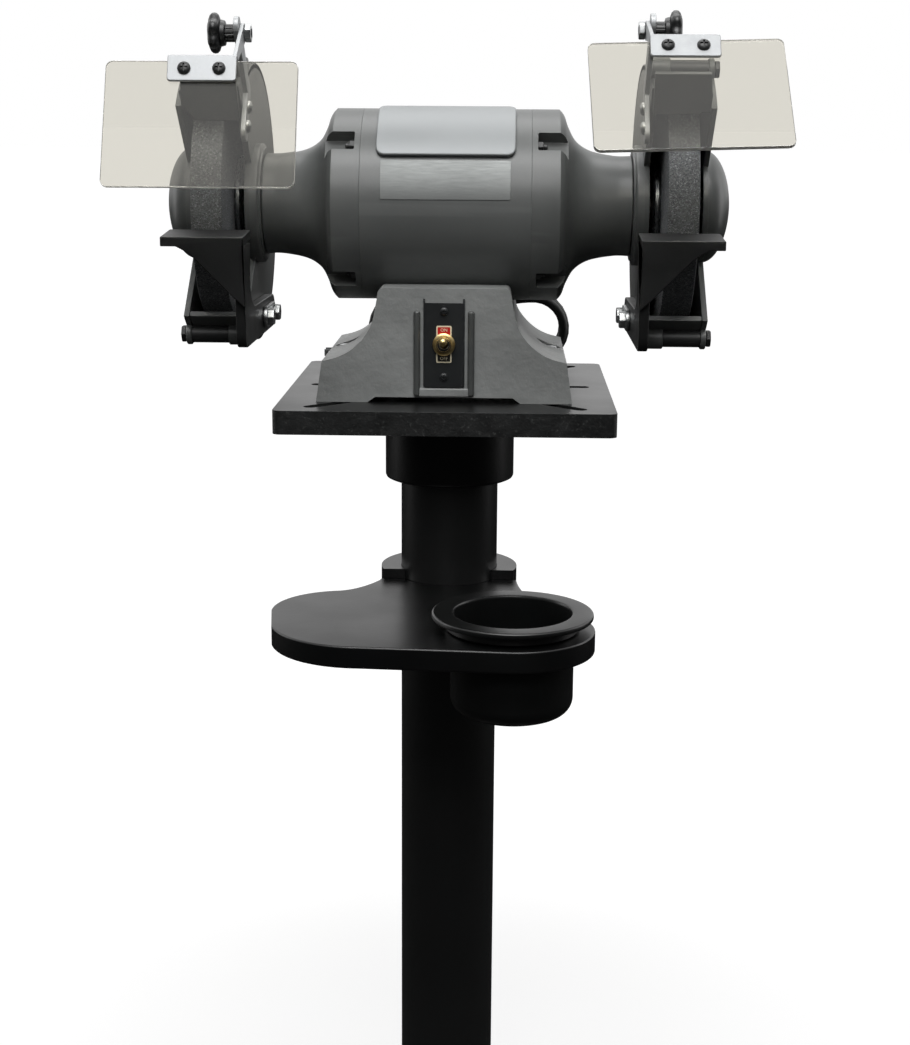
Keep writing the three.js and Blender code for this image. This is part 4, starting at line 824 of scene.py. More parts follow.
def makeTray(spec):
    ear, ring, top, split = spec["clampArc"], spec["ring"], spec["top"], spec["split"]
    under, clampTop, seatY = top - spec["thick"], spec["clampTop"], spec["seatY"]
    frontCentre = (spec["left"] + spec["frontArc"] + 4, spec["front"] + spec["frontArc"])
    backCentre = (spec["left"] + spec["corner"], spec["back"] - spec["corner"])
    outline = arc(frontCentre, spec["frontArc"], 270, 194.4, 18)
    outline += arc(backCentre, spec["corner"], 180, 99, 18)
    outline += bend(outline[-1], (-ear - 14, spec["back"] + 6), (-ear, split - 4), 12)
    outline += [(-ear, split), (ear, split)]
    ringStart = arc(spec["pot"], ring, spec["ringLean"], -90, 30)
    outline += bend(outline[-1], (ear + 4, spec["pot"][1] + ring + 22), ringStart[0], 12) + ringStart[1:]
    plate = carved(extruded("z", outline, under, top), [
        rod("z", spec["hole"], under - 2, top + 2, spec["pot"], 96),
        rod("z", spec["bore"], under - 2, top + 2, (0, 0), 96)])
    addPiece("toolTray", softened(plate, spec["edge"], 3), "tray", "stand_black", ["tool_tray"])

    start = math.degrees(math.asin((split + 2 * gap) / ear))
    half = extruded("z", arc((0, 0), ear, start, 180 - start, 48), under, clampTop)
    middle = top - spec["thick"] / 2
    centres = {hand: (side * spec["boltX"], middle) for hand, side in sides.items()}
    seats = [rod("y", spec["seat"], seatY, ear + 5, centre, 40) for centre in centres.values()]
    half = carved(half, [rod("z", spec["bore"], under - 2, clampTop + 2, (0, 0), 96), *seats])
    addPiece("trayRearClamp", softened(half, 1.8, 3), "tray", "stand_black", ["tray_rear_clamp"])
    for hand, centre in centres.items():
        head = rod("y", 5.1, seatY + gap, seatY + gap + 6, centre, 40, 0.4)
        head = carved(head, [extruded("y", hexagon(spec["socket"], centre), seatY + 3, seatY + 9)])
        bolt = joined(rod("y", 3, split - 20, seatY + 1, centre, 24), head)
        addPiece("trayClampBolt_" + hand, bolt, "tray", "fastener_steel", ["tray_clamp_bolt_" + hand])


quenchPot = {"centre": (57, -172), "trayTop": 628, "body": 50, "wall": 2.5, "bottom": 557.5, "fillet": 14,
             "rim": 65.5, "rimThick": 5, "standUp": 9, "shoulder": 54}


def makePot(spec):
    bottom, body, fillet, wall = spec["bottom"], spec["body"], spec["fillet"], spec["wall"]
    seat, shoulder, rim = spec["trayTop"] + gap, spec["shoulder"], spec["rim"]
    rimUnder = spec["trayTop"] + spec["standUp"]
    rimTop, inner, deep = rimUnder + spec["rimThick"], body - wall, fillet - wall
    profile = [(bottom, 0)]
    profile += [(bottom + fillet - z, body - fillet + r) for r, z in arc((0, 0), fillet, 90, 0, 10)]
    profile += [(seat, body), (seat, shoulder - 1), (seat + 1, shoulder), (rimUnder - 0.5, shoulder),
                (rimUnder, shoulder + 1), (rimUnder, rim - 2)]
    profile += [(rimUnder + 2 - z, rim - 2 + r) for r, z in arc((0, 0), 2, 70, 0, 4)]
    profile += [(rimTop - 2 + z, rim - 2 + r) for r, z in arc((0, 0), 2, 20, 90, 4)]
    profile += [(rimTop, inner + 3), (rimTop - 0.5, inner + 1), (rimTop - 2.5, inner)]
    profile += [(bottom + wall + deep - z, inner - deep + r) for r, z in arc((0, 0), deep, 0, 90, 10)]
    profile += [(bottom + wall, 0)]
    pot = turnedPiece("z", profile, spec["centre"], 128)
    addPiece("quenchPot", pot, "pot", "pot_black", ["quench_pot"])


makeTray(tray)
makePot(quenchPot)
print("tray and pot modelled")


# Grinder base: two low feet that sweep up into the pedestal under the motor

pedestal = {
    "foot": 106, "footTop": 101, "footTall": 34, "half": 54, "tall": 94.5, "front": -102, "back": 78,
    "arch": (62, 4.5), "bolt": (88, -4), "boltSeat": 30, "well": 10.4, "saddle": 80.3, "edge": 2.4,
    "barX": (19.5, 25.0), "barZ": (5.5, 76.5), "barProud": 3.5, "sillTop": 12.5,
}


# The two bars beside the switch are painted darker than the casting: painted shade for their shaded front
# faces
shadedBarPaint = paint({
    "name": "greyEnamelBarsPaintedShade", "coats": ("#404241", "#484a49", "#565857", "#5e605f"),
    "driftMm": 40, "fleckMm": 1.6, "fleckShare": 0.12, "edgeShare": 0.25, "rough": (0.36, 0.46),
    "skin": [(6.0, 0.15), (1.6, 0.03)]})


def makePedestal(spec):
    half, tall, foot = spec["half"], spec["tall"], spec["footTall"]
    flank = smoothLine([(spec["footTop"], foot), (spec["footTop"] - 12, foot + 3),
                        (spec["footTop"] - 23, foot + 8.5),
                        (half + 13.5, foot + 18), (half + 6, foot + 30), (half + 1.5, foot + 50)], 4)
    right = [(spec["foot"], 0), *flank, *arc((half - 4.4, tall - 5), 5, 8, 90, 6)]
    outline = aboveTable(right + [(-x, z) for x, z in reversed(right)])
    archHalf, archTall = spec["arch"]
    boltX, boltY = spec["bolt"]
    archLine = [(-archHalf - 4, -2), (archHalf + 4, -2), (archHalf - 5, archTall), (-archHalf + 5, archTall)]
    casting = carved(extruded("y", outline, spec["front"], spec["back"]), [
        rod("x", spec["saddle"], -150, 150, arbor, 128),
        extruded("y", aboveTable(archLine), spec["front"] - 2, spec["back"] + 2),
        *[rod("z", spec["well"], tableTop + spec["boltSeat"], tableTop + tall, (s * boltX, boltY), 40)
          for s in (-1, 1)]])
    softened(casting, spec["edge"], 3)
    inner, outer = spec["barX"]
    low, high = (tableTop + z for z in spec["barZ"])
    proud, rooted = spec["front"] - spec["barProud"], spec["front"] + 2
    bars = [block(sorted((s * inner, s * outer)), (proud, rooted), (low, high)) for s in (-1, 1)]
    sill = block((-inner - 1, inner + 1), (proud + 0.6, rooted), (low, tableTop + spec["sillTop"]))
    bars = joined(*[softened(bar, 2.4, 4) for bar in bars])
    # The bars take the darker grey, a painted shade
    addPiece("switchBars", onGrinder(bars), "frame", "casting_grey", finish=shadedBarPaint)
    # The pedestal's lighter grey than the motor's is painted light
    addPiece("grinderPedestal", onGrinder(joined(casting, softened(sill, 1.2, 3))), "frame", "casting_grey",
             ["grinder_base"], finish=finishes["sand_grey"])
    for hand, side in sides.items():
        centre = (side * boltX, boltY)
        seat, under = tableTop + spec["boltSeat"], tableTop - stand["tableThick"] - gap
        bolt = joined(rod("z", 4, under - 11.5, seat + 1, centre, 24),
                      hexHead("z", 6.6, seat + gap, seat + gap + 5.5, centre),
                      rod("z", 9.6, under - 2.5, under, centre, 32, 0.4),
                      hexHead("z", 6.6, under - 9, under - 2.4, centre))
        addPiece("baseBolt_" + hand, onGrinder(bolt), "frame", "fastener_steel", ["base_bolt_" + hand])


# Motor: a short barrel between two end bells whose necks run out to the guards

motor = {
    "radius": 80, "wall": 8, "half": 70.14, "rimEnd": 94, "neck": 42, "neckEnd": 155, "seat": 23.8,
    "bore": 14, "pocketFrom": 75, "pocketFloor": 67.5, "pocketHalf": 9.5,
    "pocketAngles": (43, -48, 137, 228),
}


# A place on a circle round the motor's axis: radius, and degrees up from the front
def polar(radius, degrees):
    forward, up = polarPoint(radius, degrees)
    return arbor[0] - forward, arbor[1] + up


def makeMotor(spec):
    outer, inner, half = spec["radius"], spec["radius"] - spec["wall"], spec["half"]
    barrel = turnedPiece("x", [
        (-half, inner), (-half, outer - 0.2), (-half + 0.2, outer), (half - 0.2, outer), (half, outer - 0.2),
        (half, inner), (-half, inner)], arbor, 160)
    addPiece("motorBarrel", onGrinder(barrel), "frame", "casting_grey", ["motor_frame"])
    rim, neck, end = spec["rimEnd"], spec["neck"], spec["neckEnd"]
    flare = smoothLine([(rim + 1.6, outer - 2.2), (rim + 4, outer - 6), (rim + 7.4, 64.8), (rim + 14.3, 53.4),
                        (rim + 26.8, 45.8), (rim + 46.8, neck), (end - 1, neck)], 6)
    start = half + 0.02
    profile = [(start, inner), (start, outer - 0.2), (start + 0.2, outer), (rim - 0.6, outer),
               *flare, (end, neck - 1), (end, spec["seat"]), (end - 16.3, spec["seat"]),
               (end - 16.3, spec["bore"]), (rim + 14, spec["bore"]), (rim - 5, inner - 20),
               (start + 3, inner - 14), (start + 3, inner), (start, inner)]
    for hand, side in sides.items():
        bell = turnedPiece("x", profile, arbor, 160)
        pockets = []
        for angle in spec["pocketAngles"]:
            pocket = block((spec["pocketFrom"], rim + 16), (-spec["pocketHalf"], spec["pocketHalf"]),
                           (spec["pocketFloor"], outer + 12))
            pocket = softened(pocket, 1.2, 2)
            pockets.append(moved(tilted(pocket, 90 - angle, (0, 0, 0)), (0, *arbor)))
        bell = carved(bell, pockets)
        softened(bell, 0.8, 2, angle=35)
        addPiece("endBell_" + hand, onGrinder(bell, side), "frame", "casting_grey", [hand + "_end_bell"],
                 smooth=35)
        studs = [hexHead("x", 4.2, spec["pocketFrom"] - 1, spec["pocketFrom"] + 4.5,
                         polar(spec["pocketFloor"] + 5.2, angle)) for angle in spec["pocketAngles"]]
        studs += [rod("x", 2.4, spec["pocketFrom"] + 4, spec["pocketFrom"] + 8,
                      polar(spec["pocketFloor"] + 5.2, angle), 20, 0.5) for angle in spec["pocketAngles"]]
        addPiece("throughBoltNuts_" + hand, onGrinder(joined(*studs), side), "frame", "fastener_steel",
                 finish=finishes["rest_iron"])


# Printed aluminium foil under lacquer, dull and a little lighter than the paint, left bare
greyFoil = metal({
    "name": "dullAluminiumFoil", "dark": "#727473", "light": "#777978", "cloudMm": 60, "lineMm": 0.6,
    "stretch": (0.05, 1, 1), "rough": (0.5, 0.62), "lineDepthMm": 0.004})


# A thin plate that lies on the barrel: made flat, sliced across, then wrapped round the axis
def wrapped(spec):
    (start, end), inner = spec["angles"], spec["inner"]
    middle = math.radians((start + end) / 2)
    halfTall = math.radians(end - start) / 2 * inner
    plate = extruded("y", roundedRectangle(spec["half"], halfTall, spec["corner"]), 0, spec["thick"])
    softened(plate, spec["edge"], 3)
    slices = 24
    for i in range(1, slices):
        height = -halfTall + 2 * halfTall * i / slices
        bmesh.ops.bisect_plane(plate, geom=plate.verts[:] + plate.edges[:] + plate.faces[:],
                               plane_co=(0, 0, height), plane_no=(0, 0, 1))
    for vert in plate.verts:
        turn = middle + vert.co.z / inner
        reach = inner + vert.co.y
        vert.co.y = arbor[0] - reach * math.cos(turn)
        vert.co.z = arbor[1] + reach * math.sin(turn)
    return weld(plate)


plates = {
    "badge": {"half": 57, "angles": (31, 78), "inner": 80.3, "thick": 4, "corner": 7, "edge": 1.4},
    "foil": {"half": 53, "angles": (5.5, 29), "inner": 80.05, "thick": 0.5, "corner": 1, "edge": 0.15},
}


def makePlates(spec):
    addPiece("frontBadge", onGrinder(wrapped(spec["badge"])), "frame", "badge_silver", ["name_badge"],
             smooth=50)
    addPiece("sideFoil", onGrinder(wrapped(spec["foil"])), "frame", "badge_silver", finish=greyFoil,
             smooth=50)


makePedestal(pedestal)
makeMotor(motor)
makePlates(plates)
print("pedestal and motor modelled")


# Wheel side: guards, wheel, flanges, spark plate

guard = {
    "inX": 163, "plate": 5, "coverX": (211.8, 216.5), "radius": 116, "wall": 5, "hub": 50, "hubBore": 24.5,
    "up": 43.5, "down": -50, "downHub": -63, "dome": 47, "domeTip": 238.5, "domeWall": 3,
    "flangeTop": 138, "flangeThick": 4, "lug": 9, "lugReach": 120.4, "lugAngles": (-61, 67), "lugLong": 18,
    "sparkR": (104.5, 148.3), "sparkX": (163.6, 210.5), "sparkThick": 3,
    "sparkOut": {"left": -1.5, "right": 8.3},
}


def guardOutline(spec, outer, hub):
    edge = [polar(outer, spec["up"] + (360 + spec["down"] - spec["up"]) * i / 96) for i in range(97)]
    hubArc = [polar(hub, spec["downHub"] + (spec["up"] - spec["downHub"]) * i / 24) for i in range(25)]
    return edge + hubArc


def wallOutline(spec):
    turns = [spec["up"] + (360 + spec["down"] - spec["up"]) * i / 96 for i in range(97)]
    outer = [polar(spec["radius"], t) for t in turns]
    inner = [polar(spec["radius"] - spec["wall"], t) for t in reversed(turns)]
    return outer + inner


# Stands a plate drawn in (x, radius) on the upper edge of the opening
def setRadial(spec, plate):
    return moved(tilted(plate, 90 - spec["up"], (0, 0, 0)), (0, *arbor))


def makeGuard(spec, hand, side):
    inX, coverIn, coverOut = spec["inX"], *spec["coverX"]
    lugCentres = [polar(spec["lugReach"], angle) for angle in spec["lugAngles"]]
    plate = carved(extruded("x", guardOutline(spec, spec["radius"], spec["hub"]), inX, inX + spec["plate"]),
                   [rod("x", spec["hubBore"], inX - 2, inX + 10, arbor)])
    softened(plate, 1.0, 2)
    wall = softened(extruded("x", wallOutline(spec), inX, coverIn - gap), 0.9, 2)
    hubWide, hubBore = spec["hub"], spec["hubBore"]
    hub = turnedPiece("x", [
        (155.3, hubBore), (155.3, 46), (156.6, 46.6), (156.6, 48.4), (157.6, 49.6), (159, hubWide),
        (inX + 1, hubWide), (inX + 1, hubBore), (155.3, hubBore)], arbor)
    x0, x1 = inX, coverIn - gap
    r0, r1 = spec["radius"] - spec["wall"] + 0.4, spec["flangeTop"]
    flange = extruded("y", [(x0, r0), (x1, r0), (x1, r1 - 6), (x1 - 6, r1), (x0, r1)], 0, spec["flangeThick"])
    flange = setRadial(spec, softened(flange, 0.9, 2))
    lugs = [rod("x", spec["lug"], inX, inX + spec["lugLong"], centre, 48, 0.8) for centre in lugCentres]
    inner = joined(plate, wall, hub, flange, *lugs)
    addPiece("innerGuard_" + hand, onGrinder(inner, side), "frame", "casting_grey", [hand + "_inner_guard"])

    cover = carved(extruded("x", guardOutline(spec, spec["radius"], spec["hub"]), coverIn, coverOut),
                   [rod("x", spec["dome"] - spec["domeWall"], coverIn - 2, coverOut + 2, arbor, 96)])
    softened(cover, 1.4, 3)
    tip, wide, thin = spec["domeTip"], spec["dome"], spec["domeWall"]
    outerLine, innerLine = [], []
    for i in range(25):
        turn = i / 24 * math.pi / 2
        lift, spread = math.sin(turn), math.cos(turn) if i < 24 else 0
        outerLine.append((coverOut + (tip - coverOut) * lift, wide * spread))
        innerLine.append((coverOut + (tip - thin - coverOut) * lift, (wide - thin) * spread))
    lip = [(coverIn, wide), (coverOut - 0.4, wide + 1.4), (coverOut, wide + 0.6)]
    dome = turnedPiece("x", lip + outerLine + innerLine[::-1] + [(coverIn, wide - thin), (coverIn, wide)],
                       arbor, 128)
    coverLugs = [rod("x", spec["lug"], coverIn, coverOut, centre, 48, 0.8) for centre in lugCentres]
    addPiece("outerCover_" + hand, onGrinder(joined(cover, dome, *coverLugs), side), "frame", "casting_grey",
             [hand + "_outer_cover"], smooth=35)
    for name, centre in zip(("coverBolt_", "topCoverBolt_"), lugCentres):
        bolt = joined(rod("x", 4, inX + 3 + gap, coverOut + 1, centre, 24),
                      rod("x", 7.4, inX + spec["lugLong"] - 0.5, coverIn + 0.2, centre, 40, 0.3),
                      hexHead("x", 6.6, coverOut + gap, coverOut + gap + 4, centre))
        addPiece(name + hand, onGrinder(bolt, side), "frame", "fastener_steel",
                 [hand + "_cover_bolt"] if name == "coverBolt_" else [], finish=finishes["rest_iron"])

    sx0, sx1 = spec["sparkX"]
    r0, r1 = (radius + spec["sparkOut"][hand] for radius in spec["sparkR"])
    spark = extruded("y", [(sx0 + 2, r0), (sx1 - 8, r0), (sx1, r0 + 21), (sx1 - 3, r1), (sx0, r1)],
                     -gap - spec["sparkThick"], -gap)
    spark = setRadial(spec, softened(spark, 0.7, 2))
    addPiece("sparkPlate_" + hand, onGrinder(spark, side), hand + "_arrester", "casting_grey",
             [hand + "_spark_arrester"])


wheelSpec = {"x": 191, "radius": 101.6, "wide": 25.4, "bore": 8.2, "flange": 40, "flangeThick": 6.2}


def makeWheel(spec, hand, side):
    half, big, bore = spec["wide"] / 2, spec["radius"], spec["bore"]
    a, b = spec["x"] - half, spec["x"] + half
    wheel = turnedPiece("x", [(a, bore), (a, big - 1.4), (a + 0.4, big - 0.4), (a + 1.4, big), (b - 1.4, big),
                              (b - 0.4, big - 0.4), (b, big - 1.4), (b, bore), (a, bore)], arbor, 160)
    addPiece("wheel_" + hand, onGrinder(wheel, side), "arbor", "abrasive", [hand + "_wheel"])
    wide, thick = spec["flange"], spec["flangeThick"]
    for name, start in (("inner", a - gap - thick), ("outer", b + gap)):
        end = start + thick
        disc = turnedPiece("x", [(start, bore), (start, wide - 1.8), (start + 1.8, wide), (end - 1.8, wide),
                                 (end, wide - 1.8), (end, bore), (start, bore)], arbor)
        addPiece(name + "Flange_" + hand, onGrinder(disc, side), "arbor", "turned_steel",
                 ["%s_%s_flange" % (hand, name)])


for hand, side in sides.items():
    makeGuard(guard, hand, side)
    makeWheel(wheelSpec, hand, side)
print("guards and wheels modelled")


# Tool rest: platform, web and slotted arm, clamped to the guard by a bar and two bolts

rest = {
    "x": (155, 220), "armX": (155, 162.7), "front": -163, "back": -121, "topFront": 138.2, "topBack": 141.5,
    "thick": 7.5, "webY": (-163, -154), "slot": (-58, 15), "slotZ": 64, "slotWide": 9,
    "bar": (151.7, 154.7), "barWide": 18, "bolts": (-47, -9), "boltEnd": 166, "edge": 1.3,
}


def makeRest(spec, hand, side):
    x0, x1 = spec["x"]
    front, back, thick = spec["front"], spec["back"], spec["thick"]
    top = [(front, spec["topFront"]), (back, spec["topBack"])]
    platform = extruded("x", aboveTable(top + [(y, z - thick) for y, z in reversed(top)]), x0, x1)
    under = spec["topFront"] - thick + 1.5
    sweep = smoothLine([(210, 131.7), (201.5, 127.4), (194.8, 122.5), (184, 112)], 4)
    web = [(x0, under), (210, under), *sweep, (164, 92), (x0, 84)]
    web = extruded("y", aboveTable(web), *spec["webY"])
    low, high = 50, 78
    arm = [(-160, 131.7), (-156, 62), *bend((-156, 62), (-155, low), (-143, low), 8), (8, low)]
    arm += arc((8, 64), 14, -90, 90, 16)[1:] + [(-97, high + 1)]
    arm += bend((-97, high + 1), (-125, high + 3), (-127, 103), 10) + [(-124, 131.7)]
    arm = extruded("x", aboveTable(arm), *spec["armX"])
    a0, a1 = spec["armX"]
    slotZ, endR = tableTop + spec["slotZ"], spec["slotWide"] / 2
    slotLine = slotOutline((spec["slot"][0] + endR, slotZ), (spec["slot"][1] - endR, slotZ), spec["slotWide"])
    slot = extruded("x", slotLine, a0 - 2, a1 + 2)
    whole = carved(carved(platform, [web, arm], "UNION"), [slot])
    softened(whole, spec["edge"], 3)
    addPiece("toolRest_" + hand, onGrinder(whole, side), hand + "_rest", "rest_iron", [hand + "_tool_rest"])
    b0, b1 = spec["bar"]
    barLine = slotOutline((spec["bolts"][0] - 2, slotZ), (spec["bolts"][1] + 2, slotZ), spec["barWide"])
    bar = softened(extruded("x", barLine, b0, b1), 0.6, 2)
    bolts = [hexHead("x", 6.6, b0 - 5.5, b0 + 0.2, (y, slotZ)) for y in spec["bolts"]]
    shanks = [rod("x", 3.8, b1 - 0.5, spec["boltEnd"], (y, slotZ), 24) for y in spec["bolts"]]
    addPiece("restClamp_" + hand, onGrinder(joined(bar, *bolts, *shanks), side), "frame", "fastener_steel",
             [hand + "_rest_clamp"])


# Eye shield: bent strip arm on the guard, bracket, sheet, and the lobed knob that clamps the tilt

shield = {
    "armX": (158.7, 162.7), "strip": 15, "armOver": 7, "pivotY": -127,
    "pivotZ": {"left": 293, "right": 296.5},
    "foot": (-103, 217), "knee": (-84, 249), "tilt": {"left": -22.4, "right": -39.1},
    "ear": (155.4, 3.0), "flangeX": (155.4, 208), "flangeY": (-33.6, -30.6), "flangeZ": (-53.8, -33),
    "shelf": (2.2, -26.2), "sheetX": (109, 255.5), "sheetY": (-30.3, -26.8), "sheetZ": (-136.6, -36.6),
    "sheetTurn": {"left": 0, "right": 2.2}, "corner": 5.5, "screwX": (168.5, 195), "screwZ": -44,
    "knobX": (163, 173.8, 183.3), "knobR": 15.5, "lobes": 6, "lobeDip": 4.2, "lobeFrom": 0.45, "bolt": 4,
    "nut": (150.1, 155.1),
}


# Sawn and scraped edge of the sheet: it scatters what the sheet gathers and looks frosted and pale
sawnEdge = moulded({
    "name": "sawnPolycarbonateEdge", "dark": "#e2e1da", "light": "#ecebe4", "cloudMm": 4, "grainMm": 0.5,
    "grainDepthMm": 0.02, "rough": (0.45, 0.6), "fixed": {"Transmission Weight": 0.85, "IOR": 1.5}})


# A strip with round ends that bends at the knee: round outside, a sharp corner inside
def stripOutline(foot, knee, end, width):
    half = width / 2
    first, second = (math.degrees(math.atan2(b[1] - a[1], b[0] - a[0]))
                     for a, b in ((foot, knee), (knee, end)))
    turn = (second - first + 180) % 360 - 180
    side = 90 if turn > 0 else -90
    corner = arc(knee, half / math.cos(math.radians(turn / 2)), first + turn / 2 + side, 0, 1)[:1]
    return (arc(end, half, second - side, second + side, 12) + corner
            + arc(foot, half, first + side, first + 3 * side, 12)
            + arc(knee, half, first - side, first - side + turn, 6)[:-1])


# A disc spun from its profile, dished on the outer face, its rim then drawn in between the lobes
def scallopedGrip(spec, start, end):
    big = spec["knobR"]
    rings = [(0.0, 0.5), (0.04, 0.7), (0.15, 0.88), (0.32, 0.98), (0.5, 1.0), (0.68, 0.98), (0.85, 0.89),
             (0.97, 0.72), (1.0, 0.5), (0.94, 0.3), (0.92, 0.15)]
    grip = turnedPiece("x", [(start + along * (end - start), big * share) for along, share in rings], (0, 0))
    bmesh.ops.holes_fill(grip, edges=grip.edges, sides=0)
    for vert in grip.verts:
        reach, turn = math.hypot(vert.co.y, vert.co.z), math.atan2(vert.co.z, vert.co.y)
        wave = (0.5 - 0.5 * math.cos(spec["lobes"] * turn)) ** 1.5
        dip = spec["lobeDip"] * max(0, reach / big - spec["lobeFrom"]) * wave
        vert.co.y *= 1 - dip / reach
        vert.co.z *= 1 - dip / reach
    return weld(grip)


def makeShield(spec, hand, side):
    foot, knee, pivot = aboveTable([spec["foot"], spec["knee"], (spec["pivotY"], spec["pivotZ"][hand])])
    a0, a1 = spec["armX"]
    share = 1 + spec["armOver"] / math.dist(knee, pivot)
    armEnd = [k + share * (p - k) for k, p in zip(knee, pivot)]
    strip = softened(extruded("x", stripOutline(foot, knee, armEnd, spec["strip"]), a0, a1), 0.6, 2)
    addPiece("shieldArm_" + hand, onGrinder(strip, side), "frame", "zinc_plate", [hand + "_shield_arm"])
    screws = []
    for share in (0.15, 0.62):
        spot = (foot[0] + (knee[0] - foot[0]) * share, foot[1] + (knee[1] - foot[1]) * share)
        screws.append(panScrew("x", 5.2, a0, -1, spot))
    addPiece("armScrews_" + hand, onGrinder(joined(*screws), side), "frame", "fastener_steel")

    centre = (0, *pivot)
    tilt = spec["tilt"][hand]
    body = hand + "_shield"

    def hung(bm):
        return onGrinder(tilted(moved(bm, (0, *pivot)), tilt, centre), side)

    y0, y1 = spec["flangeY"]
    z0, z1 = spec["flangeZ"]
    thick, shelfBack = spec["shelf"]
    e0, e1 = spec["ear"][0], sum(spec["ear"])
    lean = math.degrees(math.atan2(z1, (y0 + shelfBack) / 2))
    earLine = arc((0, 0), spec["strip"] / 2, lean + 90, lean + 270, 16)
    earLine += [(y0, z1), (y0, z1 - thick), (shelfBack, z1 - thick)]
    ear = carved(extruded("x", earLine, e0, e1), [rod("x", 4.3, e0 - 2, e1 + 2, (0, 0), 32)])
    softened(ear, 0.5, 2)
    f0, f1 = spec["flangeX"]
    shelf = softened(block((f0, f1), (y0 + 0.6, shelfBack), (z1 - thick, z1)), 0.5, 2)
    flange = softened(extruded("y", roundedRectangle((f1 - f0) / 2, (z1 - z0) / 2, 2.5,
                                                     ((f0 + f1) / 2, (z0 + z1) / 2)), y0, y1), 0.8, 3)
    addPiece("shieldBracket_" + hand, hung(joined(ear, flange, shelf)), body, "zinc_plate",
             [hand + "_shield_bracket"])
    heads = [panScrew("y", 5.0, y0, -1, (x, spec["screwZ"])) for x in spec["screwX"]]
    heads += [hexHead("y", 4.2, spec["sheetY"][1] + 0.2, spec["sheetY"][1] + 3.6, (x, spec["screwZ"]))
              for x in spec["screwX"]]
    heads += [rod("y", 2.2, y1 - 1, spec["sheetY"][1] + 0.4, (x, spec["screwZ"]), 20) for x in spec["screwX"]]
    addPiece("sheetScrews_" + hand, hung(joined(*heads)), body, "zinc_plate", finish=finishes["rest_iron"])
    s0, s1 = spec["sheetX"]
    b0, b1 = spec["sheetZ"]
    sheet = extruded("y", roundedRectangle((s1 - s0) / 2, (b1 - b0) / 2, spec["corner"],
                                           ((s0 + s1) / 2, (b0 + b1) / 2), 10), *spec["sheetY"])
    softened(sheet, 0.5, 2)
    bmesh.ops.rotate(sheet, verts=sheet.verts, cent=((f0 + f1) / 2, 0, (z0 + z1) / 2),
                     matrix=Matrix.Rotation(math.radians(-spec["sheetTurn"][hand] * side), 3, "Y"))
    pane = addPiece("eyeShield_" + hand, hung(sheet), body, "clear_shield", [hand + "_eye_shield"])
    pane.data.materials.append(sawnEdge)
    facing = max(pane.data.polygons, key=lambda face: face.area).normal.copy()
    for face in pane.data.polygons:
        face.material_index = 1 if abs(face.normal.dot(facing)) < 0.9 else 0

    k0, k1, k2 = spec["knobX"]
    grip = scallopedGrip(spec, k1, k2)
    stem = turnedPiece("x", [(k0, 0), (k0, 6.4), (k0 + 0.4, 6.8), (k1 - 4, 6.8), (k1 - 3.2, 9.4),
                             (k1 - 0.4, 10.2), (k1 + 0.5, 9.6), (k1 + 0.5, 0)], (0, 0), 48)
    flutes = [rod("x", 1.1, k0 - 1, k1 - 3.8, polarPoint(7.2, 30 * i), 12) for i in range(12)]
    addPiece("knobGrip_" + hand, hung(joined(grip, carved(stem, flutes))), hand + "_knob", "knob_plastic",
             [hand + "_shield_knob"])
    n0, n1 = spec["nut"]
    boltBits = joined(rod("x", spec["bolt"], n0, k1, (0, 0), 32, 0.4), hexHead("x", 6.2, n0, n1, (0, 0)))
    addPiece("knobBolt_" + hand, hung(boltBits), hand + "_knob", "knob_plastic",
             finish=finishes["fastener_steel"])


for hand, side in sides.items():
    makeRest(rest, hand, side)
    makeShield(shield, hand, side)
print("rests and shields modelled")


# Switch on the front of the pedestal: bent plate, label, nut, bush and bat lever

switch = {
    "half": 17, "z": (13.5, 82.8), "y": (-104.3, -102.3), "bendWide": 3.6, "ear": 3.4, "leverZ": 49,
    "screws": (22.2, 76), "screwR": 3.4, "label": (6.3, 15.2, 1.1), "bush": 6.12, "bushEnd": -111.1,
    "nut": (9.2, 3.0), "pivotY": -104, "lift": 11, "tipY": -131, "stick": 2.2, "tip": 3.6, "ball": 3.55,
    "mouth": 4.0, "letter": 3.6,
}


def lettering(words, size, centre, y, depth):
    curve = bpy.data.curves.new("words", "FONT")
    curve.body = words
    curve.align_x = "CENTER"
    curve.align_y = "CENTER"
    curve.size = size
    curve.extrude = depth
    curve.resolution_u = 4
    holder = bpy.data.objects.new("words", curve)
    bpy.context.scene.collection.objects.link(holder)
    mesh = bpy.data.meshes.new_from_object(holder.evaluated_get(bpy.context.evaluated_depsgraph_get()))
    bm = bmesh.new()
    bm.from_mesh(mesh)
    bpy.data.objects.remove(holder)
    bpy.data.curves.remove(curve)
    bpy.data.meshes.remove(mesh)
    tilted(weld(bm), 90, (0, 0, 0))
    return moved(bm, (centre[0], y, centre[1]))


# Label inks: a red panel for the running side, black for the other, pale print
labelInks = {
    name: moulded({"name": name, "dark": dark, "light": light, "cloudMm": 6, "grainMm": 0.8,
                   "grainDepthMm": 0.004, "rough": (0.35, 0.5)})
    for name, dark, light in (("redLabelInk", "#b3140f", "#bf1a13"), ("blackLabelInk", "#17150f", "#1d1a13"),
                              ("paleLabelPrint", "#ddd2b4", "#e6dcc0"))}


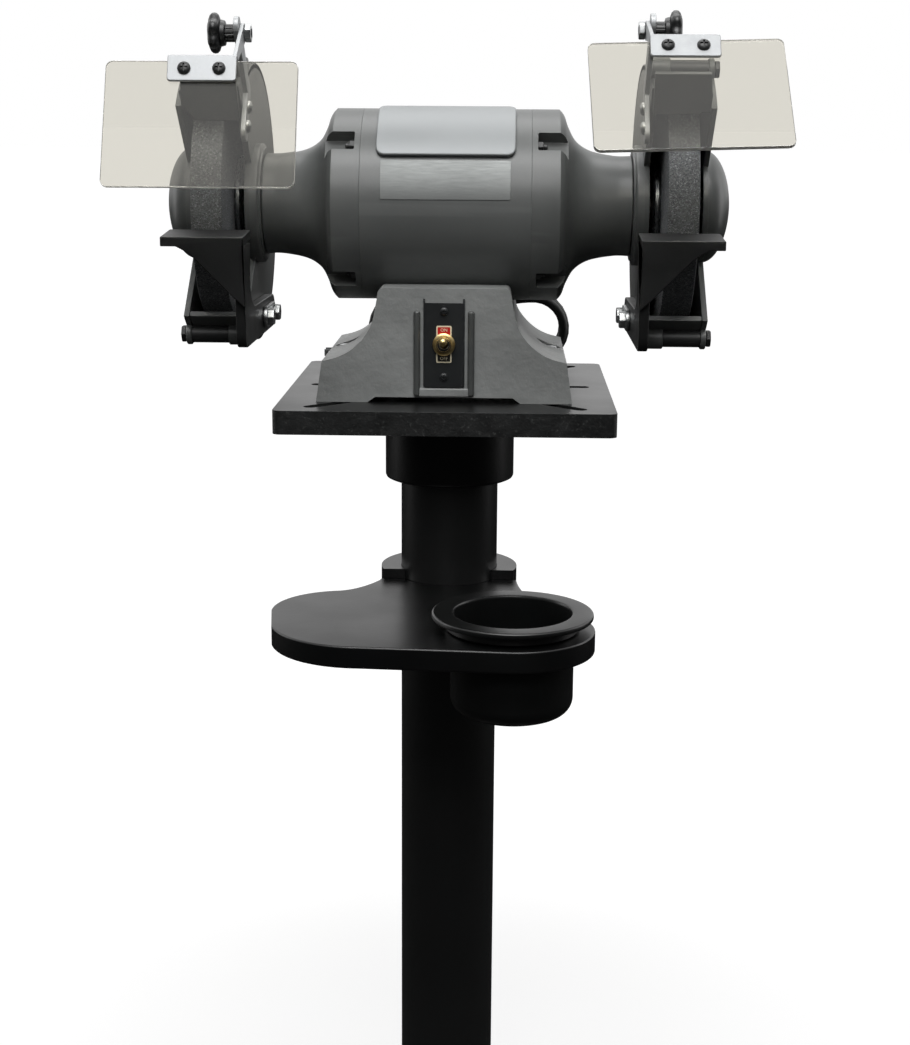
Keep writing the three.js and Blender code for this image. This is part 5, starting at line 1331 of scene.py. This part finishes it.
def makeSwitch(spec):
    low, high = (tableTop + z for z in spec["z"])
    front, back = spec["y"]
    half, bendWide, leverZ = spec["half"], spec["bendWide"], tableTop + spec["leverZ"]
    edge = bend((half, back), (half, front), (half - bendWide, front), 8)
    line = [(half, back), *edge, *[(-x, y) for x, y in reversed(edge)], (-half, back)]
    plate = softened(extruded("z", line, low, high), 0.35, 2, angle=50)
    ears = [block(sorted((s * half, s * (half - 1.5))), (front + 0.6, back), (high - 6, high + spec["ear"]))
            for s in (-1, 1)]
    ears = [softened(ear, 0.4, 2) for ear in ears]
    addPiece("switchPlate", onGrinder(joined(plate, *ears)), "frame", "switch_black", ["switch_plate"])
    screws = [panScrew("y", spec["screwR"], front, -1, (0, tableTop + z)) for z in spec["screws"]]
    addPiece("switchScrews", onGrinder(joined(*screws)), "frame", "switch_black")

    halfWide, tall, rim = spec["label"]
    label = softened(extruded("y", roundedRectangle(halfWide, tall, 1.2, (0, leverZ)), front - 0.25, front),
                     0.1, 1)
    addPiece("switchLabel", onGrinder(label), "frame", "switch_brass", finish=labelInks["paleLabelPrint"])
    for words, ink, up in (("ON", "redLabelInk", 1), ("OFF", "blackLabelInk", -1)):
        z0, z1 = sorted((leverZ + up * (tall - rim), leverZ + up * 8))
        panel = extruded("y", roundedRectangle(halfWide - rim, (z1 - z0) / 2, 0.5, (0, (z0 + z1) / 2), 3),
                         front - 0.34, front - 0.1)
        addPiece("label" + words.title() + "Panel", onGrinder(panel), "frame", "switch_brass",
                 finish=labelInks[ink])
        spot = (0, leverZ + up * (tall - rim + 9.2) / 2)
        inked = lettering(words, spec["letter"], spot, front - 0.37, 0.05)
        addPiece("label" + words.title() + "Print", onGrinder(inked), "frame", "switch_brass",
                 finish=labelInks["paleLabelPrint"])

    wide, thick = spec["nut"]
    bushR, end = spec["bush"], spec["bushEnd"]
    seat = front - 0.35
    nut = turnedPiece("y", [
        (seat, bushR), (seat, wide - 0.3), (seat - 0.3, wide), (seat - thick + 0.8, wide),
        (seat - thick, wide - 1.2), (seat - thick, bushR), (seat, bushR)], (0, leverZ), 64)
    addPiece("switchNut", onGrinder(nut), "frame", "switch_brass", ["switch_nut"])
    mouth = spec["mouth"]
    collar = turnedPiece("y", [(front + 1, bushR), (end + 0.7, bushR), (end, bushR - 0.7), (end, mouth + 1.2),
                               (end + 1.2, mouth), (front + 1, mouth), (front + 1, bushR)], (0, leverZ), 48)
    addPiece("switchCollar", onGrinder(collar), "frame", "switch_brass")
    tip, pivot, ball = spec["tipY"], spec["pivotY"], spec["ball"]
    profile = [(tip, 0), (tip + 0.25, 1.6), (tip + 0.9, 2.7), (tip + 2.2, 3.4), (tip + 4, spec["tip"]),
               (tip + 8, spec["tip"] - 0.4), (tip + 14, spec["stick"] + 0.35),
               (pivot - 0.85 * ball, spec["stick"])]
    profile += [(pivot + ball * share, ball * math.sqrt(1 - share * share))
                for share in (-0.6, -0.3, 0, 0.3, 0.6, 0.85)]
    profile += [(pivot + ball, 0)]
    lever = tilted(turnedPiece("y", profile, (0, leverZ), 40), -spec["lift"], (0, pivot, leverZ))
    addPiece("switchLever", onGrinder(lever), "toggle", "switch_brass", ["switch_lever"])


makeSwitch(switch)


# Lead fittings: ribbed strain relief, a tie round the waist of the hank, the plug

fittings = {
    "relief": {"x": 46, "z": 37.3, "start": 71, "wall": 78.3, "head": 83, "end": 100, "neck": 5.5,
               "wide": 7.5, "ribs": 5},
    "tie": {"x": 17, "centre": (126.8, 37.3), "half": (18.3, 28.6), "corner": 6, "wide": 4, "thick": 1.3},
    "plug": {"entry": -48, "sleeve": 20, "body": 34, "radius": 13.5, "y": 92.5, "z": 13.8, "blade": 16,
             "apart": 12.7, "ribs": 5},
}


def makeRelief(spec, cordR):
    start, wall, head, end, wide = (spec[key] for key in ("start", "wall", "head", "end", "wide"))
    profile = [(start, cordR), (start, spec["neck"]), (wall, spec["neck"]), (wall, wide - 0.6),
               (wall + 0.6, wide), (head - 0.6, wide), (head, wide - 0.6)]
    ribs, span = spec["ribs"], end - head
    for i in range(ribs):
        a, b = head + span * (i + 0.15) / ribs, head + span * (i + 1) / ribs
        crest = wide - 0.4 + (cordR + 1.4 - wide) * (i + 1) / ribs
        groove = max(cordR + 0.6, crest - 1.0)
        profile += [(a, groove), (a + 0.7, groove), (a + 1.0, crest), (b - 0.3, crest), (b, groove)]
    profile += [(end, cordR), (start, cordR)]
    relief = turnedPiece("y", profile, (spec["x"], tableTop + spec["z"]), 48)
    addPiece("strainRelief", onGrinder(relief), "frame", "cord_rubber", ["cord_strain_relief"])


def makeTie(spec):
    cy, cz = spec["centre"]
    cz += tableTop
    hy, hz = spec["half"]
    x0, x1 = spec["x"] - spec["wide"] / 2, spec["x"] + spec["wide"] / 2
    thick = spec["thick"]
    outer = extruded("x", roundedRectangle(hy + thick, hz + thick, spec["corner"] + thick, (cy, cz)), x0, x1)
    hole = extruded("x", roundedRectangle(hy, hz, spec["corner"], (cy, cz)), x0 - 1, x1 + 1)
    band = softened(carved(outer, [hole]), 0.3, 2)
    head = softened(block((x0 - 1.5, x1 + 1.5), (cy + hy + 0.2, cy + hy + 5), (cz + 6, cz + 12)), 0.6, 2)
    tail = softened(block((x0 + 0.4, x1 - 0.4), (cy + hy + 4.5, cy + hy + 14), (cz + 8.5, cz + 9.7)), 0.3, 2)
    addPiece("hankTie", onGrinder(joined(band, head, tail)), "frame", "knob_plastic")


def makePlug(spec, cordR):
    centre = (spec["y"], tableTop + spec["z"])
    entry, big = spec["entry"], spec["radius"]
    back = entry - spec["sleeve"]
    front = back - spec["body"]
    profile = [(front, 0), (front, big - 2.4), (front + 0.7, big - 0.9), (front + 2.4, big), (back - 12, big),
               *smoothLine([(back - 12, big), (back - 7, big - 1.6), (back - 2, cordR + 4.2),
                            (back, cordR + 3.2)], 4)[1:]]
    ribs = spec["ribs"]
    for i in range(ribs):
        a, b = back + spec["sleeve"] * i / ribs, back + spec["sleeve"] * (i + 1) / ribs
        wide = cordR + 3 - 1.8 * (i + 0.5) / ribs
        profile += [(a + 0.2, wide - 0.8), (a + 0.9, wide - 0.8), (a + 1.2, wide), (b - 0.2, wide),
                    (b, wide - 0.8)]
    profile += [(entry, cordR + 0.2), (entry, 0)]
    body = turnedPiece("x", profile, centre, 56)
    for vert in body.verts:  # flat finger grips on the two sides
        if vert.co.x < back - 10:
            vert.co.y = max(centre[0] - big + 1.6, min(centre[0] + big - 1.6, vert.co.y))
    moulding = addPiece("plugBody", onGrinder(body), "frame", "cord_rubber", ["cord_plug"])
    blades = []
    for s in (-1, 1):
        y = centre[0] + s * spec["apart"] / 2
        blade = block((front - spec["blade"], front + 4), (y - 0.8, y + 0.8),
                      (centre[1] - 0.5, centre[1] + 5.8))
        blades.append(softened(blade, 0.35, 2))
    hole = rod("y", 1.6, centre[0] - 12, centre[0] + 12, (front - spec["blade"] + 4, centre[1] + 2.65), 24)
    blades = [carved(blade, [hole.copy()]) for blade in blades]
    hole.free()
    earth = rod("x", 2.4, front - spec["blade"] - 3, front + 4, (centre[0], centre[1] - 6.5), 28, 1.2)
    metalPins = addPiece("plugPins", onGrinder(joined(*blades, earth)), "frame", "cord_rubber",
                         finish=finishes["zinc_plate"])
    return [moulding, metalPins]


makeRelief(fittings["relief"], lead["radius"])
makeTie(fittings["tie"])
plugPieces = makePlug(fittings["plug"], lead["radius"])
print("switch and lead fittings modelled")


# Last lines: the view layer is brought up to date
bpy.context.view_layer.update()
